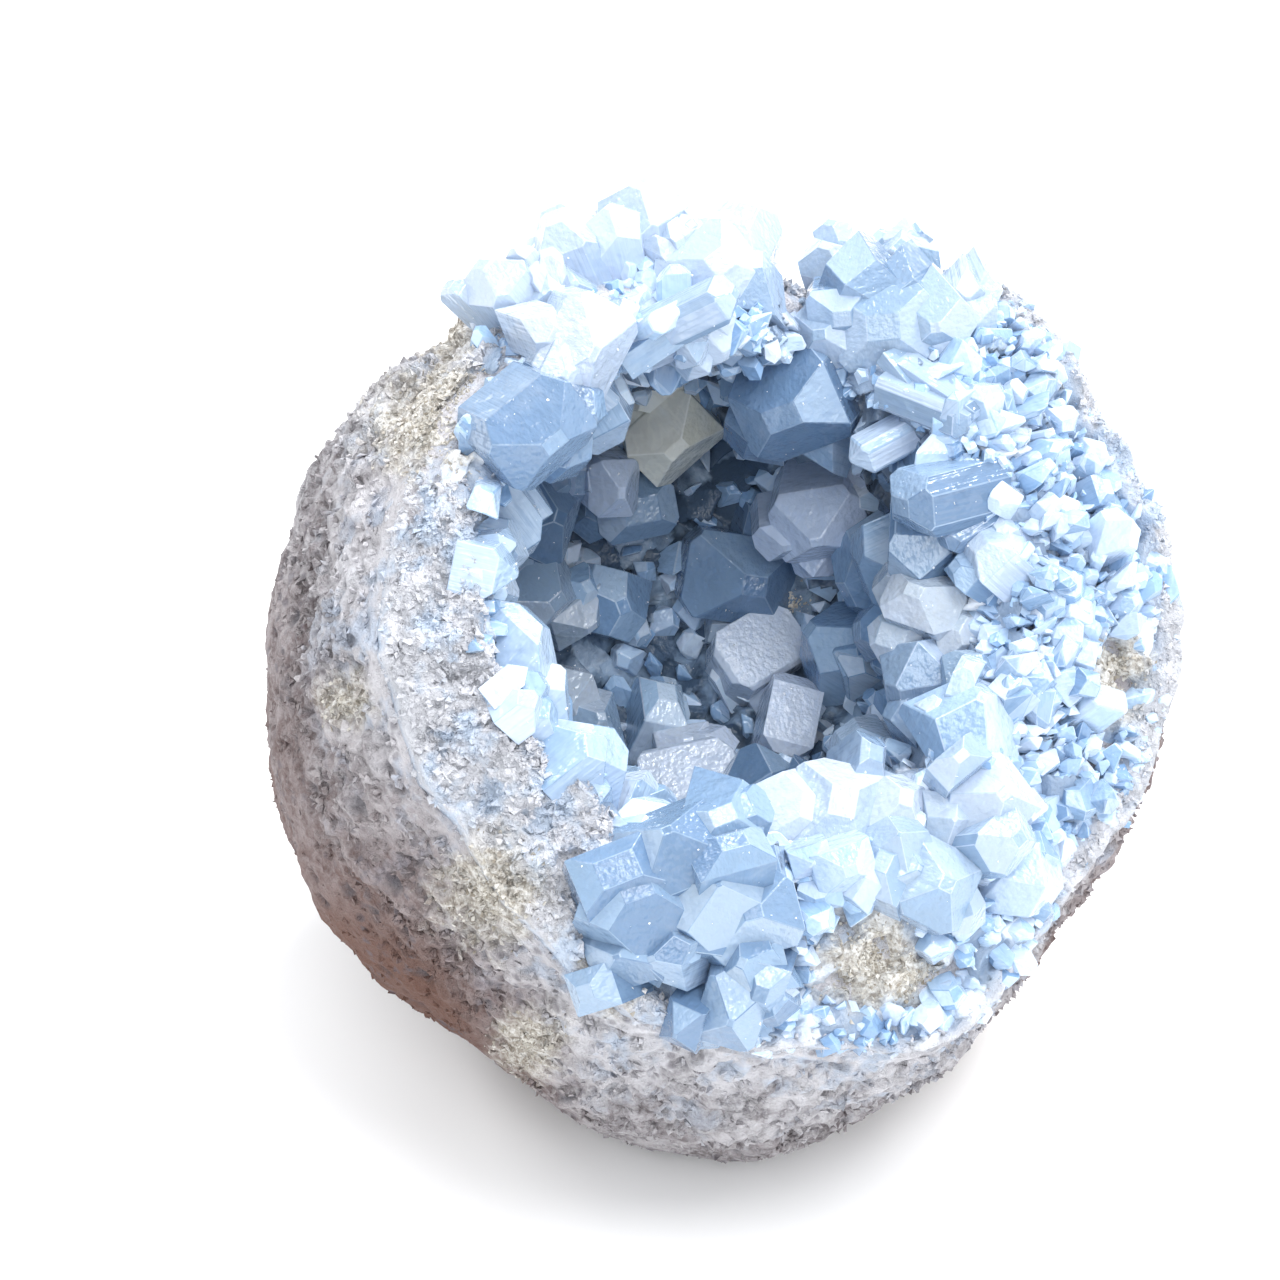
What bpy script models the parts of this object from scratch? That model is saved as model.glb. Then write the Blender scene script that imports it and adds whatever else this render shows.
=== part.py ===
"""Celestite geode: a stone nodule broken open, its hollow and broken rim lined with blue crystals.

Two bodies are built: the stone rind, which rests on a small flat spot, and one crust of crystals
grown together in its hollow. Metres, +Z up. The origin is on the flat spot, below the stone's middle.
"""

import math
import random
from collections import namedtuple

import bmesh
import bpy
from mathutils import Matrix, Vector, noise
from mathutils.bvhtree import BVHTree

MM = 0.001

# Stance. The outline is read from an eye that looks down on the resting stone.
LOOK_DOWN = math.radians(38)
EYE_DISTANCE = 430
CENTRE_HEIGHT = 50.0
RIGHT = Vector((1, 0, 0))
UP = Vector((0, math.sin(LOOK_DOWN), math.cos(LOOK_DOWN)))
OUT = Vector((0, -math.cos(LOOK_DOWN), math.sin(LOOK_DOWN)))
CENTRE = Vector((0, 0, CENTRE_HEIGHT))

# Stone, in millimetres: half widths every 15 degrees round the outline, from the right, upwards.
OUTLINE = (54, 53.5, 53.5, 56, 53, 45, 48, 51, 51, 51, 52, 53,
           54.5, 55, 55.5, 55.5, 55.5, 57.5, 59.5, 58, 57, 53.5, 52, 53)
FRONT_DEPTH = 56
BACK_DEPTH = 53
LUMP_SIZE = 24
LUMP_HEIGHT = 1.9

# Opening: its axis leans right of the eye and up, and its mouth sits off the stone's middle.
LEAN_RIGHT = math.radians(20)
LEAN_UP = math.radians(8)
AXIS = (OUT * (math.cos(LEAN_RIGHT) * math.cos(LEAN_UP))
        + RIGHT * (math.sin(LEAN_RIGHT) * math.cos(LEAN_UP)) + UP * math.sin(LEAN_UP)).normalized()
SIDE = (RIGHT - AXIS * RIGHT.dot(AXIS)).normalized()
HEAD = AXIS.cross(SIDE)
MOUTH_SIDE, MOUTH_HEAD = -11, 7
# Every 45 degrees, from the right, upwards: the mouth radius of the stone's hollow, and how far
# in front of the stone's middle its lip and its outer edge are.
MOUTH = (37, 34, 30, 28, 31.5, 34, 37, 38)
LIP = (31, 29.5, 25, 25, 29.5, 31.5, 32, 32)
EDGE = (27, 25, 16, 16, 25, 29, 29, 28)
FLOOR_HEIGHT = -29
OVERHANG = 0.07
NOTCH_ANGLE, NOTCH_WIDTH, NOTCH_DEPTH = math.radians(74), math.radians(13), 9
FRACTURE_COURSE, FRACTURE_SIZE, FRACTURE_HEIGHT = 75, 15, 1.6
# Noise vectors start from the clock where they have no seed. The broken face has this one.
FRACTURE_SEED = 1795864131
noise.seed_set(FRACTURE_SEED)

# Crust: how far a face lies over the stone's own broken face at the hollow's wall and floor, at its
# lip and at the outer edge, how far it stays inside that edge, and the gap between the two bodies.
Face = namedtuple("Face", "wall floor lip edge inset")
STONE_FACE = Face(0, 0, 0, 0, 0)
BED_FACE = Face(wall=5, floor=6, lip=3, edge=2.4, inset=0.6)
BURIED_FACE = Face(wall=-1.6, floor=-1.6, lip=-1.6, edge=-1.6, inset=0.6)
GAP = 0.35

# Mesh counts.
AROUND = 40
OUTER_RINGS = 14
FRACTURE_RINGS = 10
CRUST_AROUND = 36
CRUST_RINGS = 9

# Crystals.
ROOT = 3.0
SEED = 13
TRIES = 2600
HOLLOW_SPACING, RIM_SPACING = 10.8, 8
PRISM_ANGLE = math.radians(38)

# One crystal that is placed by hand. across and up place it as the eye sees it, lean is the
# direction of its axis as (right, up, towards the eye), roll turns it about that axis in degrees,
# wide, thick and long are its size, and flat is how much of its tip is cut off square.
Key = namedtuple("Key", "name across up lean roll wide thick long flat")
KEYS = (
    Key("pale_slab", 4.4, 0, (0.15, 0.38, 0.9), 20, 12.5, 9.5, 8, 0.55),
    Key("striped_fan", 8, -8.5, (0.4, 0.45, 0.8), 60, 12, 7, 10, 0.1),
    Key("white_face", -3.4, -15.6, (-0.25, 0.55, 0.8), 10, 13, 9, 9, 0.35),
    Key("grey_wedge", 3.6, -18, (0.3, 0.45, 0.84), 35, 10, 9, 11, 0),
    Key("deep_slab", 3.2, 9.5, (0.2, -0.15, 0.97), -15, 18, 12, 9, 0.3),
    Key("round_blue", 9.8, 32, (-0.25, -0.35, 0.9), 30, 14, 13, 14, 0.25),
    Key("hanging_white", 12.4, 19, (-0.1, -0.5, 0.86), 15, 13, 11, 13, 0.1),
    Key("dark_blade", 24.2, 20, (-0.05, -0.8, 0.6), 0, 8, 7, 14, 0),
    Key("white_thumb", 30, 20.5, (-0.85, -0.25, 0.5), 20, 9, 8, 12, 0.2),
    Key("honey", -6.4, 27.5, (0.15, -0.4, 0.9), 40, 12, 10, 10, 0.2),
    Key("white_pillar", -15.1, 22, (0.35, -0.3, 0.88), 80, 8, 7, 12, 0.1),
    Key("left_blue", -24.4, 27.5, (0.45, -0.25, 0.86), 25, 13, 11, 12, 0.2),
    Key("upper_facet", -17.8, 37, (0.25, -0.15, 0.95), 55, 13, 10, 12, 0.1),
    Key("blade", -9, 38.5, (0.8, 0.35, 0.5), 0, 6, 5, 14, 0.1),
    Key("slate", -11, 18.5, (0.2, -0.2, 0.95), 5, 11, 9, 10, 0.35),
    Key("left_dark", -24, 16, (0.62, 0, 0.78), 45, 11, 10, 10, 0.15),
    Key("left_green", -24.4, 7, (0.62, -0.1, 0.77), 15, 13, 10, 11, 0.2),
    Key("low_left", -17.2, -10.5, (0.4, 0.35, 0.85), 70, 11, 9, 11, 0.1),
    Key("violet_peak", 25, -4, (-0.15, 0.65, 0.74), 45, 10, 8.5, 10, 0),
    Key("clear_pillar", 26.8, 4.5, (-0.35, 0.35, 0.87), 5, 10, 8, 12, 0.15),
    Key("front_left", -5.2, -25, (-0.05, 0.45, 0.9), 30, 16, 13, 12, 0.1),
    Key("front_cloud", 14, -20, (0.15, 0.4, 0.9), 65, 16, 14, 12, 0.3),
    Key("front_middle", 4.6, -31, (0, 0.1, 0.99), 15, 13, 11, 9, 0.2),
    Key("front_right", 25.5, -27, (0.3, 0.1, 0.95), 50, 12, 11, 9, 0.2),
    Key("right_front", 32, -17, (0.3, 0.2, 0.93), 20, 12, 11, 9, 0.2),
    Key("front_foot", 2.6, -41, (-0.05, -0.35, 0.93), 75, 11, 9, 8, 0.1),
    Key("front_foot_left", -9.6, -35, (-0.25, -0.1, 0.96), 30, 11, 10, 8, 0.1),
    Key("top_peak", -0.5, 50, (0.1, 0.7, 0.7), 35, 13, 11, 14, 0.3),
    Key("top_middle", -9.5, 49, (-0.1, 0.8, 0.6), 60, 12, 10, 11, 0.15),
    Key("top_block", -18, 46.5, (-0.35, 0.75, 0.55), 10, 11, 10, 10, 0.3),
    Key("top_left", -25, 41.5, (-0.5, 0.6, 0.6), 40, 10, 9, 10, 0.2),
    Key("top_step", -2.4, 45.5, (0.25, 0.15, 0.95), 25, 14, 12, 10, 0.3),
    Key("lobe_clear", 13.4, 46.5, (-0.25, 0.6, 0.76), 15, 9, 8, 11, 0.15),
    Key("lobe_top", 20.8, 47, (0, 0.5, 0.87), 50, 11, 10, 10, 0.25),
    Key("lobe_low", 19.6, 39.5, (-0.1, -0.05, 0.99), 10, 14, 12, 11, 0.3),
    Key("lobe_knob", 29.6, 43, (0, -0.5, 0.86), 0, 7, 6, 9, 0.1),
    Key("rod", 22, 32, (0.82, -0.35, 0.45), 0, 5.5, 4.5, 11, 0.2),
)


def periodic(values, angle):
    """A smooth value between evenly spaced ones on a circle, the first at angle 0."""
    place = (angle / math.tau) % 1 * len(values)
    index = int(place)
    return catmull([values[(index + k) % len(values)] for k in (-1, 0, 1, 2)], place - index)


def catmull(four, t):
    """The Catmull-Rom curve from the second to the third of four values."""
    a, b, c, d = four
    return b + 0.5 * t * (c - a + t * (2 * a - 5 * b + 4 * c - d + t * (3 * (b - c) + d - a)))


def stone_radius(direction):
    """Distance from the stone's middle to its lumpy outside."""
    across, up, out = direction.dot(RIGHT), direction.dot(UP), direction.dot(OUT)
    half_width = periodic(OUTLINE, math.atan2(up, across))
    depth = FRONT_DEPTH if out > 0 else BACK_DEPTH
    smooth = 1 / math.sqrt((across * across + up * up) / half_width ** 2 + (out / depth) ** 2)
    lumps = noise.fractal(direction * (smooth / LUMP_SIZE), 0.8, 2.1, 3)
    return smooth + LUMP_HEIGHT * lumps


def outside_point(turn, psi):
    """A point on the outside: turn runs from the back pole towards the opening."""
    ray = SIDE * math.cos(psi) + HEAD * math.sin(psi)
    direction = ray * math.sin(turn) - AXIS * math.cos(turn)
    return direction * stone_radius(direction)


def notch(psi):
    """How far the broken rim dips in the cleft at its top."""
    away = (psi - NOTCH_ANGLE + math.pi) % math.tau - math.pi
    return NOTCH_DEPTH * math.exp(-(away / NOTCH_WIDTH) ** 2)


def edge_turn(psi):
    """The turn at which the outside reaches the height of the broken edge."""
    low, high = math.radians(60), math.radians(165)
    wanted = periodic(EDGE, psi) - notch(psi)
    for _ in range(30):
        middle = (low + high) / 2
        if outside_point(middle, psi).dot(AXIS) < wanted:
            low = middle
        else:
            high = middle
    return low


def edge_point(psi):
    return outside_point(edge_turn(psi), psi)


def curve_at(points, share):
    """A Catmull-Rom curve through points (distance, height), at a share of its course."""
    place = min(share, 1 - 1e-9) * (len(points) - 1)
    index = int(place)
    last = len(points) - 1
    four = [points[min(max(index + k, 0), last)] for k in (-1, 0, 1, 2)]
    return [catmull([point[axis] for point in four], place - index) for axis in (0, 1)]


def fracture_point(psi, share, edge, face=STONE_FACE):
    """A point on the broken face, from the hollow's floor at share 0 to the outer edge at 1."""
    side, head = edge.dot(SIDE) - MOUTH_SIDE, edge.dot(HEAD) - MOUTH_HEAD
    reach = math.hypot(side, head)
    ray = (SIDE * side + HEAD * head) / reach
    reach -= face.inset
    mouth = periodic(MOUTH, math.atan2(head, side)) - face.wall
    floor = FLOOR_HEIGHT + face.floor
    lip = periodic(LIP, psi) - notch(psi) + face.lip
    last = edge.dot(AXIS) + face.edge
    rise = lip - floor
    bulge = 1 + OVERHANG * max(0.0, math.sin(psi))
    profile = (
        (0, floor),
        (0.5 * mouth, floor + 0.03 * rise),
        (0.86 * mouth * bulge, floor + 0.2 * rise),
        (1.0 * mouth * bulge, floor + 0.48 * rise),
        (0.97 * mouth, floor + 0.78 * rise),
        (mouth + 0.1 * (reach - mouth), lip - 0.8),
        (mouth + 0.5 * (reach - mouth), lip - 0.3 * (lip - last)),
        (reach, last),
    )
    distance, height = curve_at(profile, share)
    point = (SIDE * MOUTH_SIDE + HEAD * MOUTH_HEAD) + ray * distance + AXIS * height
    rough = noise.noise_vector(ray * (share * FRACTURE_COURSE / FRACTURE_SIZE)) * FRACTURE_HEIGHT
    # The floor's pole and the outer edge stay where the rings meet.
    return point + rough * min(1.0, 6 * share, 8 * (1 - share))


def mesh_from_rings(name, rings, start, end):
    """A closed mesh of rings of equal count between two poles."""
    mesh = bmesh.new()
    loops = [[mesh.verts.new((CENTRE + point) * MM) for point in ring] for ring in rings]
    poles = [mesh.verts.new((CENTRE + point) * MM) for point in (start, end)]
    count = len(rings[0])
    for lower, upper in zip(loops, loops[1:]):
        for i in range(count):
            j = (i + 1) % count
            mesh.faces.new((lower[i], lower[j], upper[j], upper[i]))
    for pole, loop in zip(poles, (loops[0], loops[-1])):
        for i in range(count):
            mesh.faces.new((pole, loop[i], loop[(i + 1) % count]))
    bmesh.ops.triangulate(mesh, faces=mesh.faces)
    bmesh.ops.recalc_face_normals(mesh, faces=mesh.faces)
    return new_object(name, mesh)


def new_object(name, mesh):
    data = bpy.data.meshes.new(name)
    mesh.to_mesh(data)
    mesh.free()
    made = bpy.data.objects.new(name, data)
    bpy.context.scene.collection.objects.link(made)
    return made


def full_turn(count):
    return [math.tau * i / count for i in range(count)]


def stone_object(name, grown=0.0):
    """The nodule with its hollow, closed, pushed out on all sides by a distance."""
    angles = full_turn(AROUND)
    turns = [edge_turn(psi) for psi in angles]
    rings = []
    for ring in range(1, OUTER_RINGS + 1):
        share = ring / OUTER_RINGS
        rings.append([outside_point(turn * share, psi) for turn, psi in zip(turns, angles)])
    edges = rings[-1]
    for ring in range(1, FRACTURE_RINGS):
        share = 1 - ring / FRACTURE_RINGS
        rings.append([fracture_point(psi, share, edge) for psi, edge in zip(angles, edges)])
    back = outside_point(0, 0)
    floor = fracture_point(0, 0, edges[0])
    stone = mesh_from_rings(name, rings, back, floor)
    if grown:
        mesh = bmesh.new()
        mesh.from_mesh(stone.data)
        mesh.normal_update()
        moves = [(vert, vert.normal.copy()) for vert in mesh.verts]
        for vert, normal in moves:
            vert.co += normal * (grown * MM)
        mesh.to_mesh(stone.data)
        mesh.free()
    return stone


def cut_flat_spot(stone):
    """Cuts the stone off flat on the surface that it rests on."""
    mesh = bmesh.new()
    mesh.from_mesh(stone.data)
    everything = mesh.verts[:] + mesh.edges[:] + mesh.faces[:]
    bmesh.ops.bisect_plane(mesh, geom=everything, plane_co=(0, 0, 0), plane_no=(0, 0, 1),
                           clear_inner=True)
    rim = [edge for edge in mesh.edges if edge.is_boundary]
    bmesh.ops.edgeloop_fill(mesh, edges=rim)
    bmesh.ops.recalc_face_normals(mesh, faces=mesh.faces)
    mesh.to_mesh(stone.data)
    mesh.free()


def crust_bed(name):
    """The crust without its crystals: its face over the stone, and a back sunk into the stone."""
    angles = full_turn(CRUST_AROUND)
    edges = [edge_point(psi) for psi in angles]
    outwards = [ring / CRUST_RINGS for ring in range(1, CRUST_RINGS + 1)]
    rings = []
    for face, shares in ((BED_FACE, outwards), (BURIED_FACE, reversed(outwards))):
        for share in shares:
            rings.append([fracture_point(psi, share, edge, face) for psi, edge in zip(angles, edges)])
    top = fracture_point(0, 0, edges[0], BED_FACE)
    bottom = fracture_point(0, 0, edges[0], BURIED_FACE)
    return mesh_from_rings(name, rings, top, bottom)


def crystal_planes(wide, thick, long, flat, chance, sides="all"):
    """The flat faces of one crystal as (outward normal, distance from the root's middle).

    sides says which faces its prism has: "square" ones, "slanting" ones or all eight.
    """
    planes = [((0, 0, -1), ROOT)]
    for sign in (1, -1):
        if sides != "slanting":
            planes.append(((sign, 0, 0), wide / 2))
            planes.append(((0, sign, 0), thick / 2))
        for other in (1, -1) if sides != "square" else ():
            normal = (sign * math.cos(PRISM_ANGLE), other * math.sin(PRISM_ANGLE), 0)
            corner = wide / 2 * math.cos(PRISM_ANGLE) + thick / 2 * math.sin(PRISM_ANGLE)
            planes.append((normal, corner * chance.uniform(0.78, 0.9)))
        # Roof faces of the tip: a steep pair across the thin side and a blunter pair across the wide one.
        steep = math.radians(chance.uniform(38, 50))
        planes.append(((0, sign * math.cos(steep), math.sin(steep)), long * math.sin(steep)))
        blunt = math.radians(chance.uniform(44, 58))
        planes.append(((sign * math.cos(blunt), 0, math.sin(blunt)), long * math.sin(blunt)))
    planes.append(((0, 0, 1), long * (1 - 0.5 * flat)))
    return planes


def crystal_object(name, place, planes):
    """A convex crystal: a block cut down by its faces, then moved into place."""
    mesh = bmesh.new()
    bmesh.ops.create_cube(mesh, size=80)
    for normal, distance in planes:
        everything = mesh.verts[:] + mesh.edges[:] + mesh.faces[:]
        bmesh.ops.bisect_plane(mesh, geom=everything, dist=1e-5, plane_co=Vector(normal) * distance,
                               plane_no=normal, clear_outer=True)
        rim = [edge for edge in mesh.edges if edge.is_boundary]
        if rim:
            bmesh.ops.edgeloop_fill(mesh, edges=rim)
    bmesh.ops.remove_doubles(mesh, verts=mesh.verts, dist=0.02)
    bmesh.ops.transform(mesh, matrix=place, verts=mesh.verts)
    bmesh.ops.scale(mesh, vec=(MM, MM, MM), verts=mesh.verts)
    bmesh.ops.recalc_face_normals(mesh, faces=mesh.faces)
    return new_object(name, mesh)


def placing(point, axis, roll):
    """The matrix that stands a crystal at a point (millimetres, world) along an axis."""
    turn = axis.to_track_quat("Z", "Y").to_matrix().to_4x4()
    return Matrix.Translation(point) @ turn @ Matrix.Rotation(roll, 4, "Z")


def bed_tree(bed):
    """For rays: the bed's mesh in millimetres."""
    verts = [vert.co / MM for vert in bed.data.vertices]
    return BVHTree.FromPolygons(verts, [tuple(face.vertices) for face in bed.data.polygons])


def key_crystals(tree, chance):
    """(point, axis, roll, planes) of the crystals placed by hand, where the eye's line meets the bed."""
    eye = CENTRE + OUT * EYE_DISTANCE
    found = []
    for key in KEYS:
        aim = CENTRE + RIGHT * key.across + UP * key.up
        point = tree.ray_cast(eye, (aim - eye).normalized())[0]
        if point is None:
            point = tree.find_nearest(aim)[0]
        lean = RIGHT * key.lean[0] + UP * key.lean[1] + OUT * key.lean[2]
        planes = crystal_planes(key.wide, key.thick, key.long, key.flat, chance)
        found.append((point, lean.normalized(), math.radians(key.roll), planes, key.wide))
    return found


def scattered_crystals(taken, chance):
    """The crystals between those placed by hand, spread over the bed at an even spacing."""
    centres = [(point, wide) for point, _, _, _, wide in taken]
    found = []
    for _ in range(TRIES):
        psi, share = chance.uniform(0, math.tau), chance.uniform(0.05, 0.93)
        edge = edge_point(psi)
        here = fracture_point(psi, share, edge, BED_FACE)
        point = CENTRE + here
        rim = share > 0.68
        spacing = RIM_SPACING if rim else HOLLOW_SPACING
        if any((point - other).length < (spacing + 0.5 * wide) / 1.6 for other, wide in centres):
            continue
        along = fracture_point(psi, share + 0.02, edge, BED_FACE) - here
        beside = psi + 0.05
        round_it = fracture_point(beside, share, edge_point(beside), BED_FACE) - here
        normal = round_it.cross(along).normalized()
        if normal.dot(AXIS * 25 - here) < 0:
            normal.negate()
        sway = Vector([chance.gauss(0, 0.25) for _ in range(3)])
        wide = spacing * chance.uniform(0.8, 1.15)
        long = wide * chance.uniform(0.55, 0.95)
        planes = crystal_planes(wide, wide * chance.uniform(0.6, 0.95), long,
                                chance.uniform(0, 0.5), chance, chance.choice(("square", "slanting")))
        axis = (normal + sway).normalized()
        found.append((point, axis, chance.uniform(0, math.tau), planes, wide))
        centres.append((point, wide))
    return found


def add_boolean(target, operation, **operand):
    modifier = target.modifiers.new(operation.title(), "BOOLEAN")
    modifier.operation = operation
    modifier.solver = "EXACT"
    for name, value in operand.items():
        setattr(modifier, name, value)


def crystal_crust(clearance):
    """The crust: its bed joined with every crystal, then cut clear of the stone."""
    crust = crust_bed("crystal_crust")
    chance = random.Random(SEED)
    keys = key_crystals(bed_tree(crust), chance)
    everyone = keys + scattered_crystals(keys, chance)
    group = bpy.data.collections.new("crystals")
    bpy.context.scene.collection.children.link(group)
    for number, (point, axis, roll, planes, _) in enumerate(everyone):
        crystal = crystal_object(f"crystal_{number:03d}", placing(point, axis, roll), planes)
        bpy.context.scene.collection.objects.unlink(crystal)
        group.objects.link(crystal)
        hide_helper(crystal)
    add_boolean(crust, "UNION", operand_type="COLLECTION", collection=group)
    add_boolean(crust, "DIFFERENCE", object=clearance)
    apply_modifiers(crust)
    keep_largest_shell(crust)
    return crust


def apply_modifiers(target):
    evaluated = target.evaluated_get(bpy.context.evaluated_depsgraph_get())
    target.data = bpy.data.meshes.new_from_object(evaluated)
    target.modifiers.clear()


def keep_largest_shell(target):
    """Fills the voids that crystals close off between them, and drops chips cut loose."""
    mesh = bmesh.new()
    mesh.from_mesh(target.data)
    left = set(mesh.faces)
    shells = []
    while left:
        shell, frontier = set(), [left.pop()]
        while frontier:
            face = frontier.pop()
            shell.add(face)
            near = {other for edge in face.edges for other in edge.link_faces} & left
            left -= near
            frontier.extend(near)
        shells.append(shell)
    largest = max(shells, key=len)
    spare = [face for shell in shells if shell is not largest for face in shell]
    bmesh.ops.delete(mesh, geom=spare, context="FACES")
    mesh.to_mesh(target.data)
    mesh.free()


def hide_helper(helper):
    helper.hide_render = True
    helper.display_type = "WIRE"


def material(name, colour, roughness, transmission=0.0):
    made = bpy.data.materials.new(name)
    made.use_nodes = True
    shader = made.node_tree.nodes["Principled BSDF"]
    shader.inputs["Base Color"].default_value = (*colour, 1)
    shader.inputs["Roughness"].default_value = roughness
    shader.inputs["Transmission Weight"].default_value = transmission
    shader.inputs["IOR"].default_value = 1.62
    return made


def main():
    for old in list(bpy.data.objects):
        bpy.data.objects.remove(old)
    rind = stone_object("rind")
    cut_flat_spot(rind)
    rind.data.materials.append(material("rind_stone", (0.58, 0.56, 0.56), 0.9))
    clearance = stone_object("clearance", GAP)
    hide_helper(clearance)
    crust = crystal_crust(clearance)
    crust.data.materials.append(material("celestite", (0.62, 0.74, 0.86), 0.12, 0.4))


main()
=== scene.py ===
"""Looks of the celestite geode: pitted stone, a crust of blue crystals, camera and light.

Lengths are in millimetres, as in the source of the solids, and become metres where a mesh is made.
"""

import math
import random
from collections import namedtuple

import bmesh
import bpy
import numpy as np
from mathutils import Matrix, Vector, noise
from mathutils.bvhtree import BVHTree


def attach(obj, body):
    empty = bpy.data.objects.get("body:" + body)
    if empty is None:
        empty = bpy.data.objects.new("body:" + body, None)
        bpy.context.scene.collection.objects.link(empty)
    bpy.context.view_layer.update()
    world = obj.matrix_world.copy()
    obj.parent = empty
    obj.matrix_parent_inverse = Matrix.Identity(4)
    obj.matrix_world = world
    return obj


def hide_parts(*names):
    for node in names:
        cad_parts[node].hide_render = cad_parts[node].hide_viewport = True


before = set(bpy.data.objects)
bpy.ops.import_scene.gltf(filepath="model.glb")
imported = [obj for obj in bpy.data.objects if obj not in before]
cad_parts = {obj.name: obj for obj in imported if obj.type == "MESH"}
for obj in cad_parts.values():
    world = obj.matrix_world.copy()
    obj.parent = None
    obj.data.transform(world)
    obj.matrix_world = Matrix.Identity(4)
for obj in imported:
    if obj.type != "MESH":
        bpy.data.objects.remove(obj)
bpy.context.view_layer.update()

MM = 0.001

# Stance, as in the solids.
LOOK_DOWN = math.radians(38)
EYE_DISTANCE = 430
RIGHT = Vector((1, 0, 0))
UP = Vector((0, math.sin(LOOK_DOWN), math.cos(LOOK_DOWN)))
OUT = Vector((0, -math.cos(LOOK_DOWN), math.sin(LOOK_DOWN)))
CENTRE = Vector((0, 0, 50.0))

# Stone and its opening, as in the solids.
OUTLINE = (54, 53.5, 53.5, 56, 53, 45, 48, 51, 51, 51, 52, 53,
           54.5, 55, 55.5, 55.5, 55.5, 57.5, 59.5, 58, 57, 53.5, 52, 53)
FRONT_DEPTH = 56
BACK_DEPTH = 53
LUMP_SIZE = 24
LUMP_HEIGHT = 1.9
LEAN_RIGHT = math.radians(20)
LEAN_UP = math.radians(8)
AXIS = (OUT * (math.cos(LEAN_RIGHT) * math.cos(LEAN_UP))
        + RIGHT * (math.sin(LEAN_RIGHT) * math.cos(LEAN_UP)) + UP * math.sin(LEAN_UP)).normalized()
SIDE = (RIGHT - AXIS * RIGHT.dot(AXIS)).normalized()
HEAD = AXIS.cross(SIDE)
MOUTH_SIDE, MOUTH_HEAD = -11, 7
MOUTH = (37, 34, 30, 28, 31.5, 34, 37, 38)
LIP = (31, 29.5, 25, 25, 29.5, 31.5, 32, 32)
EDGE = (27, 25, 16, 16, 25, 29, 29, 28)
FLOOR_HEIGHT = -29
OVERHANG = 0.07
NOTCH_ANGLE, NOTCH_WIDTH, NOTCH_DEPTH = math.radians(74), math.radians(13), 9
FRACTURE_COURSE, FRACTURE_SIZE, FRACTURE_HEIGHT = 75, 15, 1.6
# Noise vectors start from the clock where they have no seed. The broken face has this one.
FRACTURE_SEED = 1795864131
noise.seed_set(FRACTURE_SEED)
Face = namedtuple("Face", "wall floor lip edge inset")
Shape = namedtuple("Shape", "points faces worn")
STONE_FACE = Face(0, 0, 0, 0, 0)
BED_FACE = Face(wall=5, floor=6, lip=3, edge=2.4, inset=0.6)
BURIED_FACE = Face(wall=-1.6, floor=-1.6, lip=-1.6, edge=-1.6, inset=0.6)

# Counts of the solids' bed, which the placed crystals stand on.
CRUST_AROUND, CRUST_RINGS = 36, 9

# Crystals, as in the solids but for the lean and top of pale_slab, striped_fan and white_face.
ROOT = 3.0
SEED = 13
TRIES = 2600
HOLLOW_SPACING, RIM_SPACING = 10.8, 8
PRISM_ANGLE = math.radians(38)
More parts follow.
